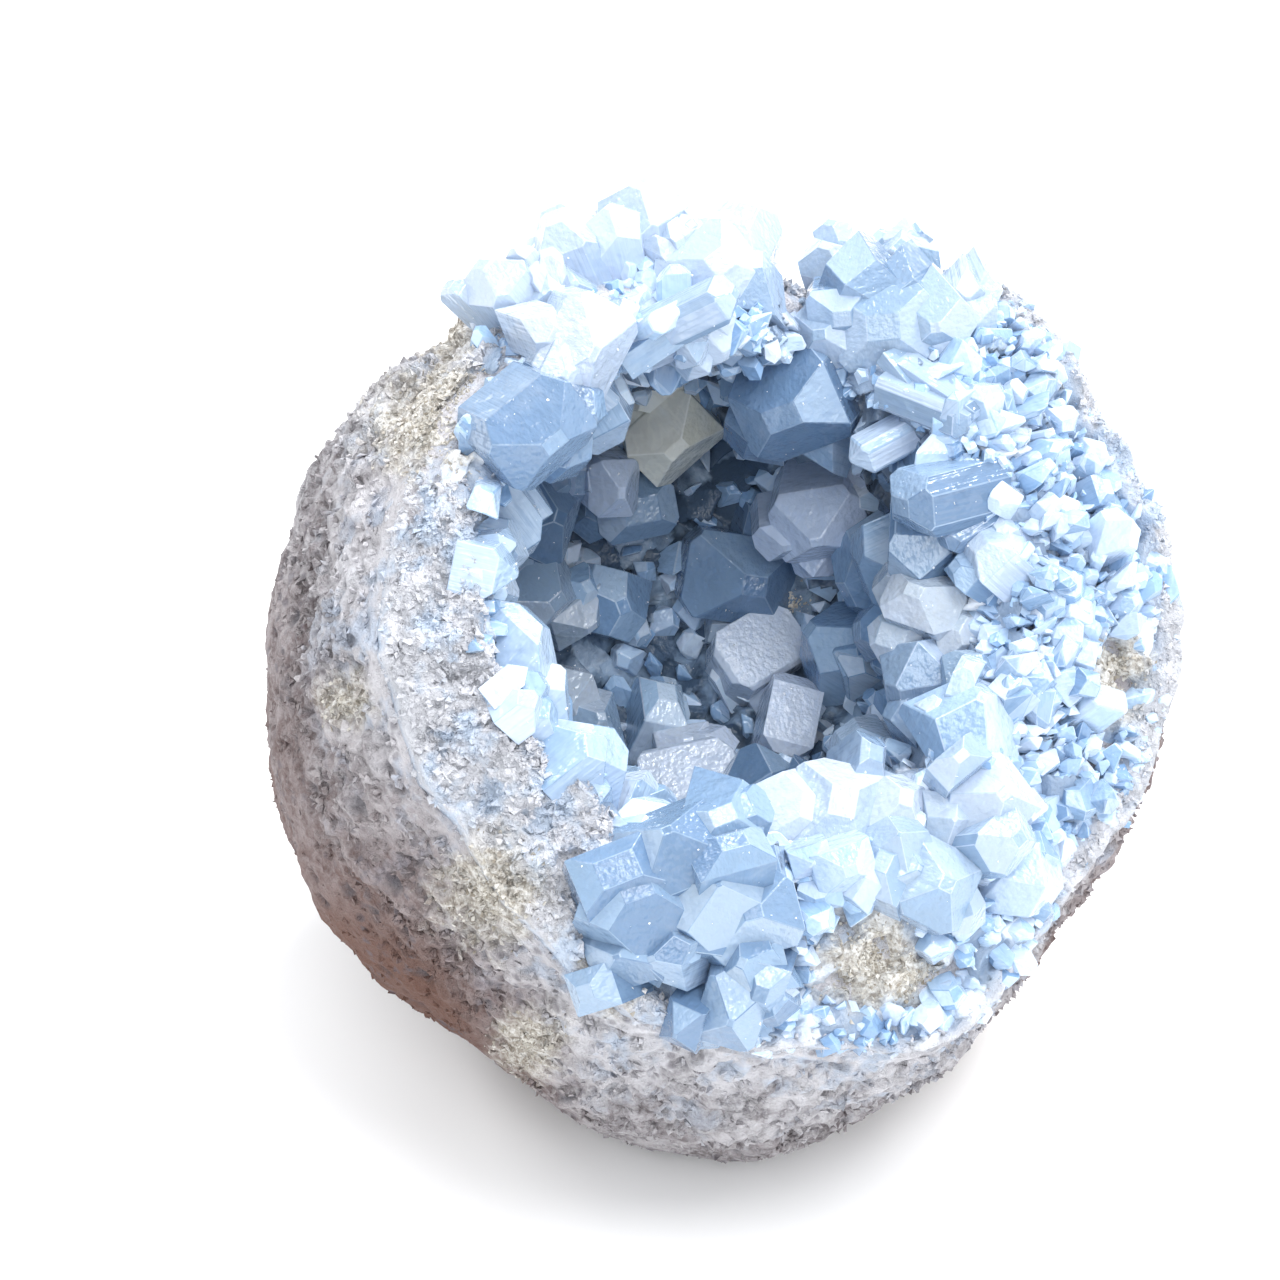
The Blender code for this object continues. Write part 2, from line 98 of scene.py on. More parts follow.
# look: tone (0 slate, 1/4 deep blue, 1/2 blue, 1 bluish white), cloudiness at root and tip.
Key = namedtuple("Key", "name across up lean roll wide thick long flat look")
KEYS = (
    Key("pale_slab", 4.4, 0, (0.17, 0.32, 0.93), 20, 12.5, 9.5, 10, 1.0, (0.8, 0.4, 0.5)),
    Key("striped_fan", 8, -8.5, (0.2, 0.38, 0.9), 60, 12, 7, 10, 0.7, (1.0, 0.6, 0.7)),
    Key("white_face", -3.4, -15.6, (0.05, 0.4, 0.91), 10, 13, 9, 10, 0.9, (0.95, 0.5, 0.6)),
    Key("grey_wedge", 3.6, -18, (0.3, 0.45, 0.84), 35, 10, 9, 11, 0, (0.25, 0.3, 0.25)),
    Key("deep_slab", 3.2, 9.5, (0.2, -0.15, 0.97), -15, 18, 12, 9, 0.3, (0.0, 0.3, 0.2)),
    Key("round_blue", 9.8, 32, (-0.25, -0.35, 0.9), 30, 14, 13, 14, 0.25, (0.14, 0.5, 0.35)),
    Key("hanging_white", 12.4, 19, (-0.1, -0.5, 0.86), 15, 13, 11, 13, 0.1, (1.0, 0.95, 1.0)),
    Key("dark_blade", 24.2, 20, (-0.05, -0.8, 0.6), 0, 8, 7, 14, 0, (0.15, 0.3, 0.2)),
    Key("white_thumb", 30, 20.5, (-0.85, -0.25, 0.5), 20, 9, 8, 12, 0.2, (0.22, 0.55, 0.4)),
    Key("honey", -6.4, 27.5, (0.15, -0.4, 0.9), 40, 12, 10, 10, 0.2, (1.0, 0.8, 0.6)),
    Key("white_pillar", -15.1, 22, (0.35, -0.3, 0.88), 80, 8, 7, 12, 0.1, (0.85, 0.6, 0.7)),
    Key("left_blue", -24.4, 27.5, (0.45, -0.25, 0.86), 25, 13, 11, 12, 0.2, (0.0, 0.4, 0.2)),
    Key("upper_facet", -17.8, 37, (0.25, -0.15, 0.95), 55, 13, 10, 12, 0.1, (0.75, 0.6, 0.45)),
    Key("blade", -9, 38.5, (0.8, 0.35, 0.5), 0, 6, 5, 14, 0.1, (0.4, 0.4, 0.5)),
    Key("slate", -11, 18.5, (0.2, -0.2, 0.95), 5, 11, 9, 10, 0.35, (0.3, 0.35, 0.3)),
    Key("left_dark", -24, 16, (0.62, 0, 0.78), 45, 11, 10, 10, 0.15, (0.15, 0.2, 0.15)),
    Key("left_green", -24.4, 7, (0.62, -0.1, 0.77), 15, 13, 10, 11, 0.2, (0.5, 0.25, 0.2)),
    Key("low_left", -17.2, -10.5, (0.4, 0.35, 0.85), 70, 11, 9, 11, 0.1, (0.5, 0.3, 0.2)),
    Key("violet_peak", 25, -4, (-0.15, 0.65, 0.74), 45, 10, 8.5, 10, 0, (0.42, 0.5, 0.45)),
    Key("clear_pillar", 26.8, 4.5, (-0.35, 0.35, 0.87), 5, 10, 8, 12, 0.15, (0.8, 0.25, 0.15)),
    Key("front_left", -5.2, -25, (-0.05, 0.45, 0.9), 30, 16, 13, 12, 0.1, (0.15, 0.4, 0.15)),
    Key("front_cloud", 14, -20, (0.15, 0.4, 0.9), 65, 16, 14, 12, 0.3, (0.75, 0.5, 0.35)),
    Key("front_middle", 4.6, -31, (0, 0.1, 0.99), 15, 13, 11, 9, 0.2, (0.25, 0.4, 0.15)),
    Key("front_right", 25.5, -27, (0.3, 0.1, 0.95), 50, 12, 11, 9, 0.2, (0.4, 0.4, 0.2)),
    Key("right_front", 32, -17, (0.3, 0.2, 0.93), 20, 12, 11, 9, 0.2, (0.65, 0.5, 0.35)),
    Key("front_foot", 2.6, -41, (-0.05, -0.35, 0.93), 75, 11, 9, 8, 0.1, (0.1, 0.4, 0.2)),
    Key("front_foot_left", -9.6, -35, (-0.25, -0.1, 0.96), 30, 11, 10, 8, 0.1, (0.15, 0.4, 0.2)),
    Key("top_peak", -0.5, 50, (0.1, 0.7, 0.7), 35, 13, 11, 14, 0.3, (0.68, 0.6, 0.4)),
    Key("top_middle", -9.5, 49, (-0.1, 0.8, 0.6), 60, 12, 10, 11, 0.15, (0.75, 0.7, 0.5)),
    Key("top_block", -18, 46.5, (-0.35, 0.75, 0.55), 10, 11, 10, 10, 0.3, (0.65, 0.6, 0.4)),
    Key("top_left", -25, 41.5, (-0.5, 0.6, 0.6), 40, 10, 9, 10, 0.2, (0.65, 0.6, 0.4)),
    Key("top_step", -2.4, 45.5, (0.25, 0.15, 0.95), 25, 14, 12, 10, 0.3, (0.75, 0.65, 0.45)),
    Key("lobe_clear", 13.4, 46.5, (-0.25, 0.6, 0.76), 15, 9, 8, 11, 0.15, (0.65, 0.6, 0.35)),
    Key("lobe_top", 20.8, 47, (0, 0.5, 0.87), 50, 11, 10, 10, 0.25, (0.45, 0.5, 0.3)),
    Key("lobe_low", 19.6, 39.5, (-0.1, -0.05, 0.99), 10, 14, 12, 11, 0.3, (0.35, 0.4, 0.3)),
    Key("lobe_knob", 29.6, 43, (0, -0.5, 0.86), 0, 7, 6, 9, 0.1, (0.5, 0.4, 0.3)),
    Key("rod", 22, 32, (0.82, -0.35, 0.45), 0, 5.5, 4.5, 11, 0.2, (0.5, 0.4, 0.5)),
)

# Those that nothing scattered may hide.
SEEN = ("honey", "white_pillar", "pale_slab", "striped_fan", "hanging_white", "deep_slab", "white_face")

# Fine mesh of the stone and of the bed under the crystals.
STONE_AROUND, STONE_RINGS, STONE_INNER_RINGS = 420, 200, 10
BED_AROUND, BED_RINGS, BED_BACK_RINGS = 480, 190, 6

# Pits of the stone's outside: how far apart, how deep, and how many of the places have one.
PIT_CELL, PIT_DEPTH, PIT_SHARE = 3.6, 0.8, 0.5

# How far the edges of crystals are worn down; these worn strips also carry a painted highlight.
EDGE_WEAR_AND_HIGHLIGHT = 0.12

# Where the eye sees the cleft of the top rim.
CLEFT_ACROSS = 7.5

# Sandy patches where matrix shows, as the eye sees them: across, up, radius.
SANDY = ((-36, 27, 6), (-33, 31, 4), (-12, -39, 3.5), (-27, -29, 6), (19, -36, 6), (24, -38, 4),
         (48, 0, 3.5), (47.5, -4, 3), (9, 6.5, 2.5), (-45, -6, 3), (-22, -47, 4), (-33, 38, 3))


def periodic(values, angle):
    """A smooth value between evenly spaced ones on a circle, the first at angle 0."""
    place = (angle / math.tau) % 1 * len(values)
    index = int(place)
    return catmull([values[(index + k) % len(values)] for k in (-1, 0, 1, 2)], place - index)


def catmull(four, t):
    """The Catmull-Rom curve from the second to the third of four values."""
    a, b, c, d = four
    return b + 0.5 * t * (c - a + t * (2 * a - 5 * b + 4 * c - d + t * (3 * (b - c) + d - a)))


def smooth_step(value):
    t = min(1.0, max(0.0, value))
    return t * t * (3 - 2 * t)


def stone_radius(direction):
    """Distance from the stone's middle to its lumpy outside."""
    across, up, out = direction.dot(RIGHT), direction.dot(UP), direction.dot(OUT)
    half_width = periodic(OUTLINE, math.atan2(up, across))
    depth = FRONT_DEPTH if out > 0 else BACK_DEPTH
    smooth = 1 / math.sqrt((across * across + up * up) / half_width ** 2 + (out / depth) ** 2)
    lumps = noise.fractal(direction * (smooth / LUMP_SIZE), 0.8, 2.1, 3)
    return smooth + LUMP_HEIGHT * lumps


def outside_point(turn, psi):
    """A point on the outside: turn runs from the back pole towards the opening."""
    ray = SIDE * math.cos(psi) + HEAD * math.sin(psi)
    direction = ray * math.sin(turn) - AXIS * math.cos(turn)
    return direction * stone_radius(direction)


def notch(psi):
    """How far the broken rim dips in the cleft at its top."""
    away = (psi - NOTCH_ANGLE + math.pi) % math.tau - math.pi
    return NOTCH_DEPTH * math.exp(-(away / NOTCH_WIDTH) ** 2)


def edge_turn(psi):
    """The turn at which the outside reaches the height of the broken edge."""
    low, high = math.radians(60), math.radians(165)
    wanted = periodic(EDGE, psi) - notch(psi)
    for _ in range(30):
        middle = (low + high) / 2
        if outside_point(middle, psi).dot(AXIS) < wanted:
            low = middle
        else:
            high = middle
    return low


def edge_point(psi):
    return outside_point(edge_turn(psi), psi)


def curve_at(points, share):
    """A Catmull-Rom curve through points (distance, height), at a share of its course."""
    place = min(share, 1 - 1e-9) * (len(points) - 1)
    index = int(place)
    last = len(points) - 1
    four = [points[min(max(index + k, 0), last)] for k in (-1, 0, 1, 2)]
    return [catmull([point[axis] for point in four], place - index) for axis in (0, 1)]


def fracture_point(psi, share, edge, face=STONE_FACE):
    """A point on the broken face, from the hollow's floor at share 0 to the outer edge at 1."""
    side, head = edge.dot(SIDE) - MOUTH_SIDE, edge.dot(HEAD) - MOUTH_HEAD
    reach = math.hypot(side, head)
    ray = (SIDE * side + HEAD * head) / reach
    reach -= face.inset
    mouth = periodic(MOUTH, math.atan2(head, side)) - face.wall
    floor = FLOOR_HEIGHT + face.floor
    lip = periodic(LIP, psi) - notch(psi) + face.lip
    last = edge.dot(AXIS) + face.edge
    rise = lip - floor
    bulge = 1 + OVERHANG * max(0.0, math.sin(psi))
    profile = (
        (0, floor),
        (0.5 * mouth, floor + 0.03 * rise),
        (0.86 * mouth * bulge, floor + 0.2 * rise),
        (1.0 * mouth * bulge, floor + 0.48 * rise),
        (0.97 * mouth, floor + 0.78 * rise),
        (mouth + 0.1 * (reach - mouth), lip - 0.8),
        (mouth + 0.5 * (reach - mouth), lip - 0.3 * (lip - last)),
        (reach, last),
    )
    distance, height = curve_at(profile, share)
    point = (SIDE * MOUTH_SIDE + HEAD * MOUTH_HEAD) + ray * distance + AXIS * height
    rough = noise.noise_vector(ray * (share * FRACTURE_COURSE / FRACTURE_SIZE)) * FRACTURE_HEIGHT
    # The floor's pole and the outer edge stay where the rings meet.
    return point + rough * min(1.0, 6 * share, 8 * (1 - share))


def full_turn(count):
    return [math.tau * i / count for i in range(count)]


def mesh_object(name, points, faces, marks, face_marks=None, smooth=False):
    """An object from points in millimetres, its faces, and marks: values at points or faces by name."""
    data = bpy.data.meshes.new(name)
    data.from_pydata(np.asarray(points) * MM, [], faces)
    for where, given in (("POINT", marks), ("FACE", face_marks or {})):
        for mark, values in given.items():
            values = np.asarray(values, np.float32)
            kind, field = ("FLOAT", "value") if values.ndim == 1 else ("FLOAT_VECTOR", "vector")
            data.attributes.new(mark, kind, where).data.foreach_set(field, values.ravel())
    if smooth:
        data.shade_smooth()
    made = bpy.data.objects.new(name, data)
    bpy.context.scene.collection.objects.link(made)
    return made


def ring_faces(rings, count):
    """Quads between rings of equal count, and fans to the two poles, which are the last two points."""
    faces = []
    for ring in range(rings - 1):
        for i in range(count):
            j = (i + 1) % count
            a, b = ring * count, (ring + 1) * count
            faces.append((a + i, a + j, b + j, b + i))
    start, end = rings * count, rings * count + 1
    last = (rings - 1) * count
    for i in range(count):
        j = (i + 1) % count
        faces.append((start, j, i))
        faces.append((end, last + i, last + j))
    return faces


def as_seen(point):
    """Where a point from the middle lies in the eye's view: (across, up) at the middle's distance."""
    scale = EYE_DISTANCE / (EYE_DISTANCE - point.dot(OUT))
    return point.dot(RIGHT) * scale, point.dot(UP) * scale


def sandy(point):
    """How sandy the surface is at a point: 1 inside a patch, 0 away from all."""
    if point.dot(OUT) < -5:
        return 0.0
    across, up = as_seen(point)
    ragged = 0.45 * noise.fractal(point / 2.2, 0.8, 2.0, 3)
    return max(smooth_step(1.5 - math.hypot(across - x, up - y) / radius + ragged)
               for x, y, radius in SANDY)


def in_cleft(point):
    """Whether a point stands in the gap that the eye sees through the cleft of the top rim."""
    across, up = as_seen(point)
    return up > 38 and abs(across - CLEFT_ACROSS) < 2.2 + 0.25 * (up - 38)


def pit(point):
    """Depth share of the pit at a point of the outside, 0 where there is none."""
    distances, places = noise.voronoi(point / PIT_CELL)
    kind = noise.cell(places[0] * 7.3)
    wanted = PIT_SHARE + 0.35 * noise.noise(point / 21)
    if kind > wanted:
        return 0.0
    radius = 0.14 + 0.3 * abs(noise.cell(places[0] * 3.1 + Vector((5, 5, 5)))) ** 1.5
    return smooth_step((radius - distances[0]) / (0.5 * radius) + 0.4 * noise.noise(point / 1.1))


def stone_surface():
    """The stone: its outside with lumps, grains and pits, and a plain face under the crust."""
    angles = full_turn(STONE_AROUND)
    turns = [edge_turn(psi) for psi in angles]
    points, pits, sand, edge_share, tones = [], [], [], [], []
    for ring in range(1, STONE_RINGS + 1):
        share = ring / STONE_RINGS
        fade = min(1.0, 40 * (1 - share))
        broken = smooth_step((share - 0.7) / 0.14)
        for turn, psi in zip(turns, angles):
            point = outside_point(turn * share, psi)
            hole = pit(point) * fade
            grains = 0.3 * noise.fractal(point / 2.6, 0.9, 2.2, 4) + 0.25 * noise.noise(point / 1.3)
            flat, tone = crushed(point, 2.3)
            lift = (grains + 0.55 * broken * flat - 0.4) * fade - hole * PIT_DEPTH
            points.append(point * (1 + lift / point.length))
            pits.append(hole)
            tones.append(0.5 + broken * (0.2 + 0.5 * (tone - 0.5)))
            sand.append(sandy(point))
            edge_share.append(share)
    edges = [outside_point(turn, psi) for turn, psi in zip(turns, angles)]
    for ring in range(1, STONE_INNER_RINGS):
        share = 1 - ring / STONE_INNER_RINGS
        points += [fracture_point(psi, share, edge) for psi, edge in zip(angles, edges)]
    points += [outside_point(0, 0), fracture_point(0, 0, edges[0])]
    spare = len(points) - len(pits)
    pits += [0.0] * spare
    sand += [0.0] * spare
    edge_share += [1.0] * spare
    tones += [0.5] * spare
    placed = np.array([CENTRE + point for point in points])
    placed[:, 2] = np.maximum(placed[:, 2], 0)
    faces = ring_faces(STONE_RINGS + STONE_INNER_RINGS - 1, STONE_AROUND)
    marks = {"pit": pits, "sandy": sand, "rimward": edge_share, "tone": tones}
    return mesh_object("rind_surface", placed, faces, marks, smooth=True)


def crushed(point, size):
    """(lift, tone) of massive crystal: every grain of some size is a flat face with its own tilt."""
    place = point / size
    seed = noise.voronoi(place)[1][0]
    tilt = noise.cell_vector(seed * 9.1) - Vector((0.5, 0.5, 0.5))
    height = 1.3 * tilt.dot(place - seed) + 0.5 * (noise.cell(seed * 5.7) - 0.5)
    return size * height, noise.cell(seed * 3.3)


def bed_surface():
    """The massive crystal and matrix that the crystals stand on, sunk a little in the stone."""
    angles = full_turn(BED_AROUND)
    edges = [edge_point(psi) for psi in angles]
    points, sand, deep, bare, tones = [], [], [], [], []
    for ring in range(1, BED_RINGS + 1):
        share = ring / BED_RINGS
        fade = min(1.0, 0.5 + 20 * (1 - share))
        for psi, edge in zip(angles, edges):
            point = fracture_point(psi, share, edge, BED_FACE)
            grainy = bareness(psi, share)
            lumps = noise.fractal(point / 4.5, 0.8, 2.1, 4)
            grains = noise.noise_vector(point / 2.4) * 0.4
            grains = grains + noise.noise_vector(point / 1.2) * 0.5 * grainy
            flat, tone = crushed(point, 3.4)
            out = (AXIS * 25 - point).normalized() * (1 - smooth_step((share - 0.55) / 0.2))
            out = (out + AXIS * smooth_step((share - 0.55) / 0.2)).normalized()
            lift = out * (grainy * (0.8 + 2.2 * lumps) + (1 - grainy) * flat - 0.3)
            points.append(point + (grains + lift) * fade)
            sand.append(sandy(point))
            # How far down in the hollow: the mask of the bed's painted shade.
            deep.append(smooth_step((20 - point.dot(AXIS)) / 22))
            bare.append(grainy)
            tones.append(tone)
    for ring in range(BED_BACK_RINGS, 0, -1):
        share = ring / BED_BACK_RINGS
        points += [fracture_point(psi, share, edge, BURIED_FACE) for psi, edge in zip(angles, edges)]
    points += [fracture_point(0, 0, edges[0], face) for face in (BED_FACE, BURIED_FACE)]
    placed = np.array([CENTRE + point for point in points])
    marks = {}
    for name, values in (("sandy", sand), ("deep", deep), ("bare", bare), ("tone", tones)):
        marks[name] = values + [0.0] * (len(points) - len(values))
    faces = ring_faces(BED_RINGS + BED_BACK_RINGS, BED_AROUND)
    return mesh_object("crust_bed", placed, [face[::-1] for face in faces], marks, smooth=True)


def bareness(psi, share):
    """How bare of crystals the broken rim is: 1 on the granular left rim and along the outer edge."""
    left = smooth_step((45 - abs(math.degrees(psi) % 360 - 203)) / 18)
    front = smooth_step((40 - abs(math.degrees(psi) % 360 - 285)) / 15)
    edge = smooth_step((share - 0.93 - 0.03 * front) / 0.04)
    return max(left * smooth_step((share - 0.71) / 0.07), edge)


def coarse_bed_tree():
    """For rays: the solids' own bed, so that crystals stand where theirs do."""
    angles = full_turn(CRUST_AROUND)
    edges = [edge_point(psi) for psi in angles]
    outwards = [ring / CRUST_RINGS for ring in range(1, CRUST_RINGS + 1)]
    mesh = bmesh.new()
    loops = []
    for face, shares in ((BED_FACE, outwards), (BURIED_FACE, reversed(outwards))):
        for share in shares:
            ring = [fracture_point(psi, share, edge, face) for psi, edge in zip(angles, edges)]
            loops.append([mesh.verts.new((CENTRE + point) * MM) for point in ring])
    poles = [mesh.verts.new((CENTRE + fracture_point(0, 0, edges[0], face)) * MM)
             for face in (BED_FACE, BURIED_FACE)]
    for lower, upper in zip(loops, loops[1:]):
        for i in range(CRUST_AROUND):
            j = (i + 1) % CRUST_AROUND
            mesh.faces.new((lower[i], lower[j], upper[j], upper[i]))
    for pole, loop in zip(poles, (loops[0], loops[-1])):
        for i in range(CRUST_AROUND):
            mesh.faces.new((pole, loop[i], loop[(i + 1) % CRUST_AROUND]))
    bmesh.ops.triangulate(mesh, faces=mesh.faces)
    bmesh.ops.recalc_face_normals(mesh, faces=mesh.faces)
    data = bpy.data.meshes.new("coarse_bed")
    mesh.to_mesh(data)
    mesh.free()
    verts = [vert.co / MM for vert in data.vertices]
    return BVHTree.FromPolygons(verts, [tuple(face.vertices) for face in data.polygons])


def crystal_planes(wide, thick, long, flat, chance, sides="all"):
    """The flat faces of one crystal as (outward normal, distance from the root's middle).

    sides says which faces its prism has: "square" ones, "slanting" ones or all eight.
    """
    planes = [((0, 0, -1), ROOT)]
    for sign in (1, -1):
        if sides != "slanting":
            planes.append(((sign, 0, 0), wide / 2))
            planes.append(((0, sign, 0), thick / 2))
        for other in (1, -1) if sides != "square" else ():
            normal = (sign * math.cos(PRISM_ANGLE), other * math.sin(PRISM_ANGLE), 0)
            corner = wide / 2 * math.cos(PRISM_ANGLE) + thick / 2 * math.sin(PRISM_ANGLE)
            planes.append((normal, corner * chance.uniform(0.78, 0.9)))
        # Roof faces of the tip: a steep pair across the thin side, a blunter one across the wide side.
        steep = math.radians(chance.uniform(38, 50))
        planes.append(((0, sign * math.cos(steep), math.sin(steep)), long * math.sin(steep)))
        blunt = math.radians(chance.uniform(44, 58))
        planes.append(((sign * math.cos(blunt), 0, math.sin(blunt)), long * math.sin(blunt)))
    planes.append(((0, 0, 1), long * (1 - 0.5 * flat)))
    return planes


def finished_shape(mesh, worn):
    """The Shape of a convex solid, its edges worn by so much; its worn strips are marked, for the
    crystals' painted highlight.
    """
    strips = set()
    if worn:
        made = bmesh.ops.bevel(mesh, geom=mesh.edges[:], offset=worn, offset_type="OFFSET", segments=1,
                               affect="EDGES", clamp_overlap=True)
        strips = set(made["faces"])
    bmesh.ops.recalc_face_normals(mesh, faces=mesh.faces)
    mesh.verts.index_update()
    points = np.array([vert.co for vert in mesh.verts])
    faces = [tuple(vert.index for vert in face.verts) for face in mesh.faces]
    marks = np.array([1.0 if face in strips else 0.0 for face in mesh.faces])
    mesh.free()
    return Shape(points, faces, marks)


def scaled(shape, size):
    return Shape(shape.points * size, shape.faces, shape.worn)


def cut_crystal(planes, worn=0.0):
    """A convex crystal: a block cut down by its faces."""
    mesh = bmesh.new()
    bmesh.ops.create_cube(mesh, size=80)
    for normal, distance in planes:
        everything = mesh.verts[:] + mesh.edges[:] + mesh.faces[:]
        bmesh.ops.bisect_plane(mesh, geom=everything, dist=1e-5, plane_co=Vector(normal) * distance,
                               plane_no=normal, clear_outer=True)
        rim = [edge for edge in mesh.edges if edge.is_boundary]
        if rim:
            bmesh.ops.edgeloop_fill(mesh, edges=rim)
    bmesh.ops.remove_doubles(mesh, verts=mesh.verts, dist=0.02)
    return finished_shape(mesh, worn)


def placing(point, axis, roll):
    """The matrix that stands a crystal at a point (millimetres, world) along an axis."""
    turn = axis.to_track_quat("Z", "Y").to_matrix().to_4x4()
    return Matrix.Translation(point) @ turn @ Matrix.Rotation(roll, 4, "Z")


def key_crystals(tree, chance):
    """(point, axis, roll, planes, wide) of each placed crystal, where the eye's line meets the bed."""
    eye = CENTRE + OUT * EYE_DISTANCE
    found = []
    for key in KEYS:
        aim = CENTRE + RIGHT * key.across + UP * key.up
        point = tree.ray_cast(eye, (aim - eye).normalized())[0]
        if point is None:
            point = tree.find_nearest(aim)[0]
        lean = RIGHT * key.lean[0] + UP * key.lean[1] + OUT * key.lean[2]
        planes = crystal_planes(key.wide, key.thick, key.long, key.flat, chance)
        found.append((point, lean.normalized(), math.radians(key.roll), planes, key.wide))
    return found


def bed_normal(psi, share, here, edge):
    """The direction that the bed faces at a point, out of the stone."""
    along = fracture_point(psi, share + 0.02, edge, BED_FACE) - here
    beside = psi + 0.05
    round_it = fracture_point(beside, share, edge_point(beside), BED_FACE) - here
    return along.cross(round_it).normalized()


def scattered_crystals(taken, chance):
    """The solids' crystals between the listed ones, spread over the bed at an even spacing."""
    centres = [(point, wide) for point, _, _, _, wide in taken]
    found = []
    for _ in range(TRIES):
        psi, share = chance.uniform(0, math.tau), chance.uniform(0.05, 0.93)
        edge = edge_point(psi)
        here = fracture_point(psi, share, edge, BED_FACE)
        point = CENTRE + here
        rim = share > 0.68
        spacing = RIM_SPACING if rim else HOLLOW_SPACING
        if any((point - other).length < (spacing + 0.5 * wide) / 1.6 for other, wide in centres):
            continue
        normal = bed_normal(psi, share, here, edge)
        sway = Vector([chance.gauss(0, 0.25) for _ in range(3)])
        wide = spacing * chance.uniform(0.8, 1.15)
        long = wide * chance.uniform(0.55, 0.95)
        planes = crystal_planes(wide, wide * chance.uniform(0.6, 0.95), long,
                                chance.uniform(0, 0.5), chance, chance.choice(("square", "slanting")))
        axis = (normal + sway).normalized()
        found.append((point, axis, chance.uniform(0, math.tau), planes, wide))
        centres.append((point, wide))
    return found


class Cluster:
    """Many small solids gathered as arrays, to become one mesh with values at its points."""

    def __init__(self):
        self.points, self.faces, self.worn, self.marks = [], [], [], {}
        self.count = 0

    def add(self, shape, matrix, **marks):
        """Adds a solid in its own frame (millimetres) with values for all of it or for each point."""
        self.points.append(shape.points @ np.array(matrix.to_3x3()).T + np.array(matrix.translation))
        self.faces += [tuple(self.count + index for index in face) for face in shape.faces]
        self.worn.append(shape.worn)
        for name, value in marks.items():
            value = np.asarray(value)
            values = value if value.ndim else np.full(len(shape.points), value)
            self.marks.setdefault(name, []).append(values)
        self.count += len(shape.points)

    def add_crystal(self, shape, matrix, tone, haze_root, haze_tip):
        """Adds a crystal, with its tone and how cloudy its root and its tip are."""
        points = shape.points
        height = np.clip(points[:, 2] / max(1e-6, points[:, 2].max()), 0, 1)
        haze = haze_root + (haze_tip - haze_root) * height
        self.add(shape, matrix, local=points + 40 * tone, tone=tone, haze=haze)

    def build(self, name):
        marks = {mark: np.concatenate(values) for mark, values in self.marks.items()}
        # A random value per face, for the crystals' painted shade and highlight of each facet.
        facet_painted_shade = np.random.default_rng(5).random(len(self.faces))
        face_marks = {"worn": np.concatenate(self.worn), "facet_painted_shade": facet_painted_shade}
        return mesh_object(name, np.concatenate(self.points), self.faces, marks, face_marks)


def add(tree, kind, inputs=None, **settings):
    """A shader node with its settings, its input values and its links."""
    made = tree.nodes.new("ShaderNode" + kind)
    for name, value in settings.items():
        setattr(made, name, value)
    for name, value in (inputs or {}).items():
        if isinstance(value, bpy.types.NodeSocket):
            tree.links.new(value, made.inputs[name])
        else:
            made.inputs[name].default_value = value
    return made


def mark(tree, name, output="Fac"):
    return add(tree, "Attribute", attribute_name=name, attribute_type="GEOMETRY").outputs[output]


def ramp(tree, factor, *stops):
    """A colour ramp with stops of (place, colour); a plain number is a grey."""
    made = add(tree, "ValToRGB", {"Fac": factor})
    ramp_data = made.color_ramp
    while len(ramp_data.elements) < len(stops):
        ramp_data.elements.new(0.5)
    for element, (place, colour) in zip(ramp_data.elements, stops):
        element.position = place
        grey = isinstance(colour, (int, float))
        element.color = (colour, colour, colour, 1) if grey else (*colour, 1)
    return made.outputs["Color"]


def mix(tree, factor, first, second):
    """Colours mixed: a socket or an (r, g, b) each."""
    made = tree.nodes.new("ShaderNodeMix")
    made.data_type = "RGBA"
    for index, value in ((0, factor), (6, first), (7, second)):
        socket = made.inputs[index]
        if isinstance(value, bpy.types.NodeSocket):
            tree.links.new(value, socket)
        elif index == 0:
            socket.default_value = value
        else:
            socket.default_value = (*value, 1)
    return made.outputs[2]


def maths(tree, operation, first, second=0.0, clamp=False):
    return add(tree, "Math", {0: first, 1: second}, operation=operation, use_clamp=clamp).outputs[0]


def times(tree, first, second):
    return maths(tree, "MULTIPLY", first, second)


def plus(tree, first, second, clamp=False):
    return maths(tree, "ADD", first, second, clamp)


def minus(tree, first, second):
    return maths(tree, "SUBTRACT", first, second)


def slope(tree, value, start, end):
    """From 0 to 1 between two values."""
    return add(tree, "MapRange", {"Value": value, "From Min": start, "From Max": end}).outputs["Result"]


def noise_at(tree, vector, size, detail=4.0, roughness=0.55, distortion=0.0):
    """Noise whose features are size millimetres long, over object coordinates in metres."""
    return add(tree, "TexNoise", {"Vector": vector, "Scale": 1 / (size * MM), "Detail": detail,
                                  "Roughness": roughness, "Distortion": distortion}).outputs["Fac"]


def grains_material(name, dark, light):
    """Dull loose grains, each with its own shade between two colours."""
    made, tree, shader = new_material(name)
    place = add(tree, "TexCoord").outputs["Object"]
    shade = plus(tree, mark(tree, "tone"), noise_at(tree, place, 0.7, 3, 0.6))
    tree.links.new(ramp(tree, times(tree, shade, 0.5), (0.25, dark), (0.75, light)),
                   shader.inputs["Base Color"])
    shader.inputs["Roughness"].default_value = 0.6
    return made


def new_material(name):
    made = bpy.data.materials.new(name)
    made.use_nodes = True
    tree = made.node_tree
    shader = tree.nodes["Principled BSDF"]
    return made, tree, shader


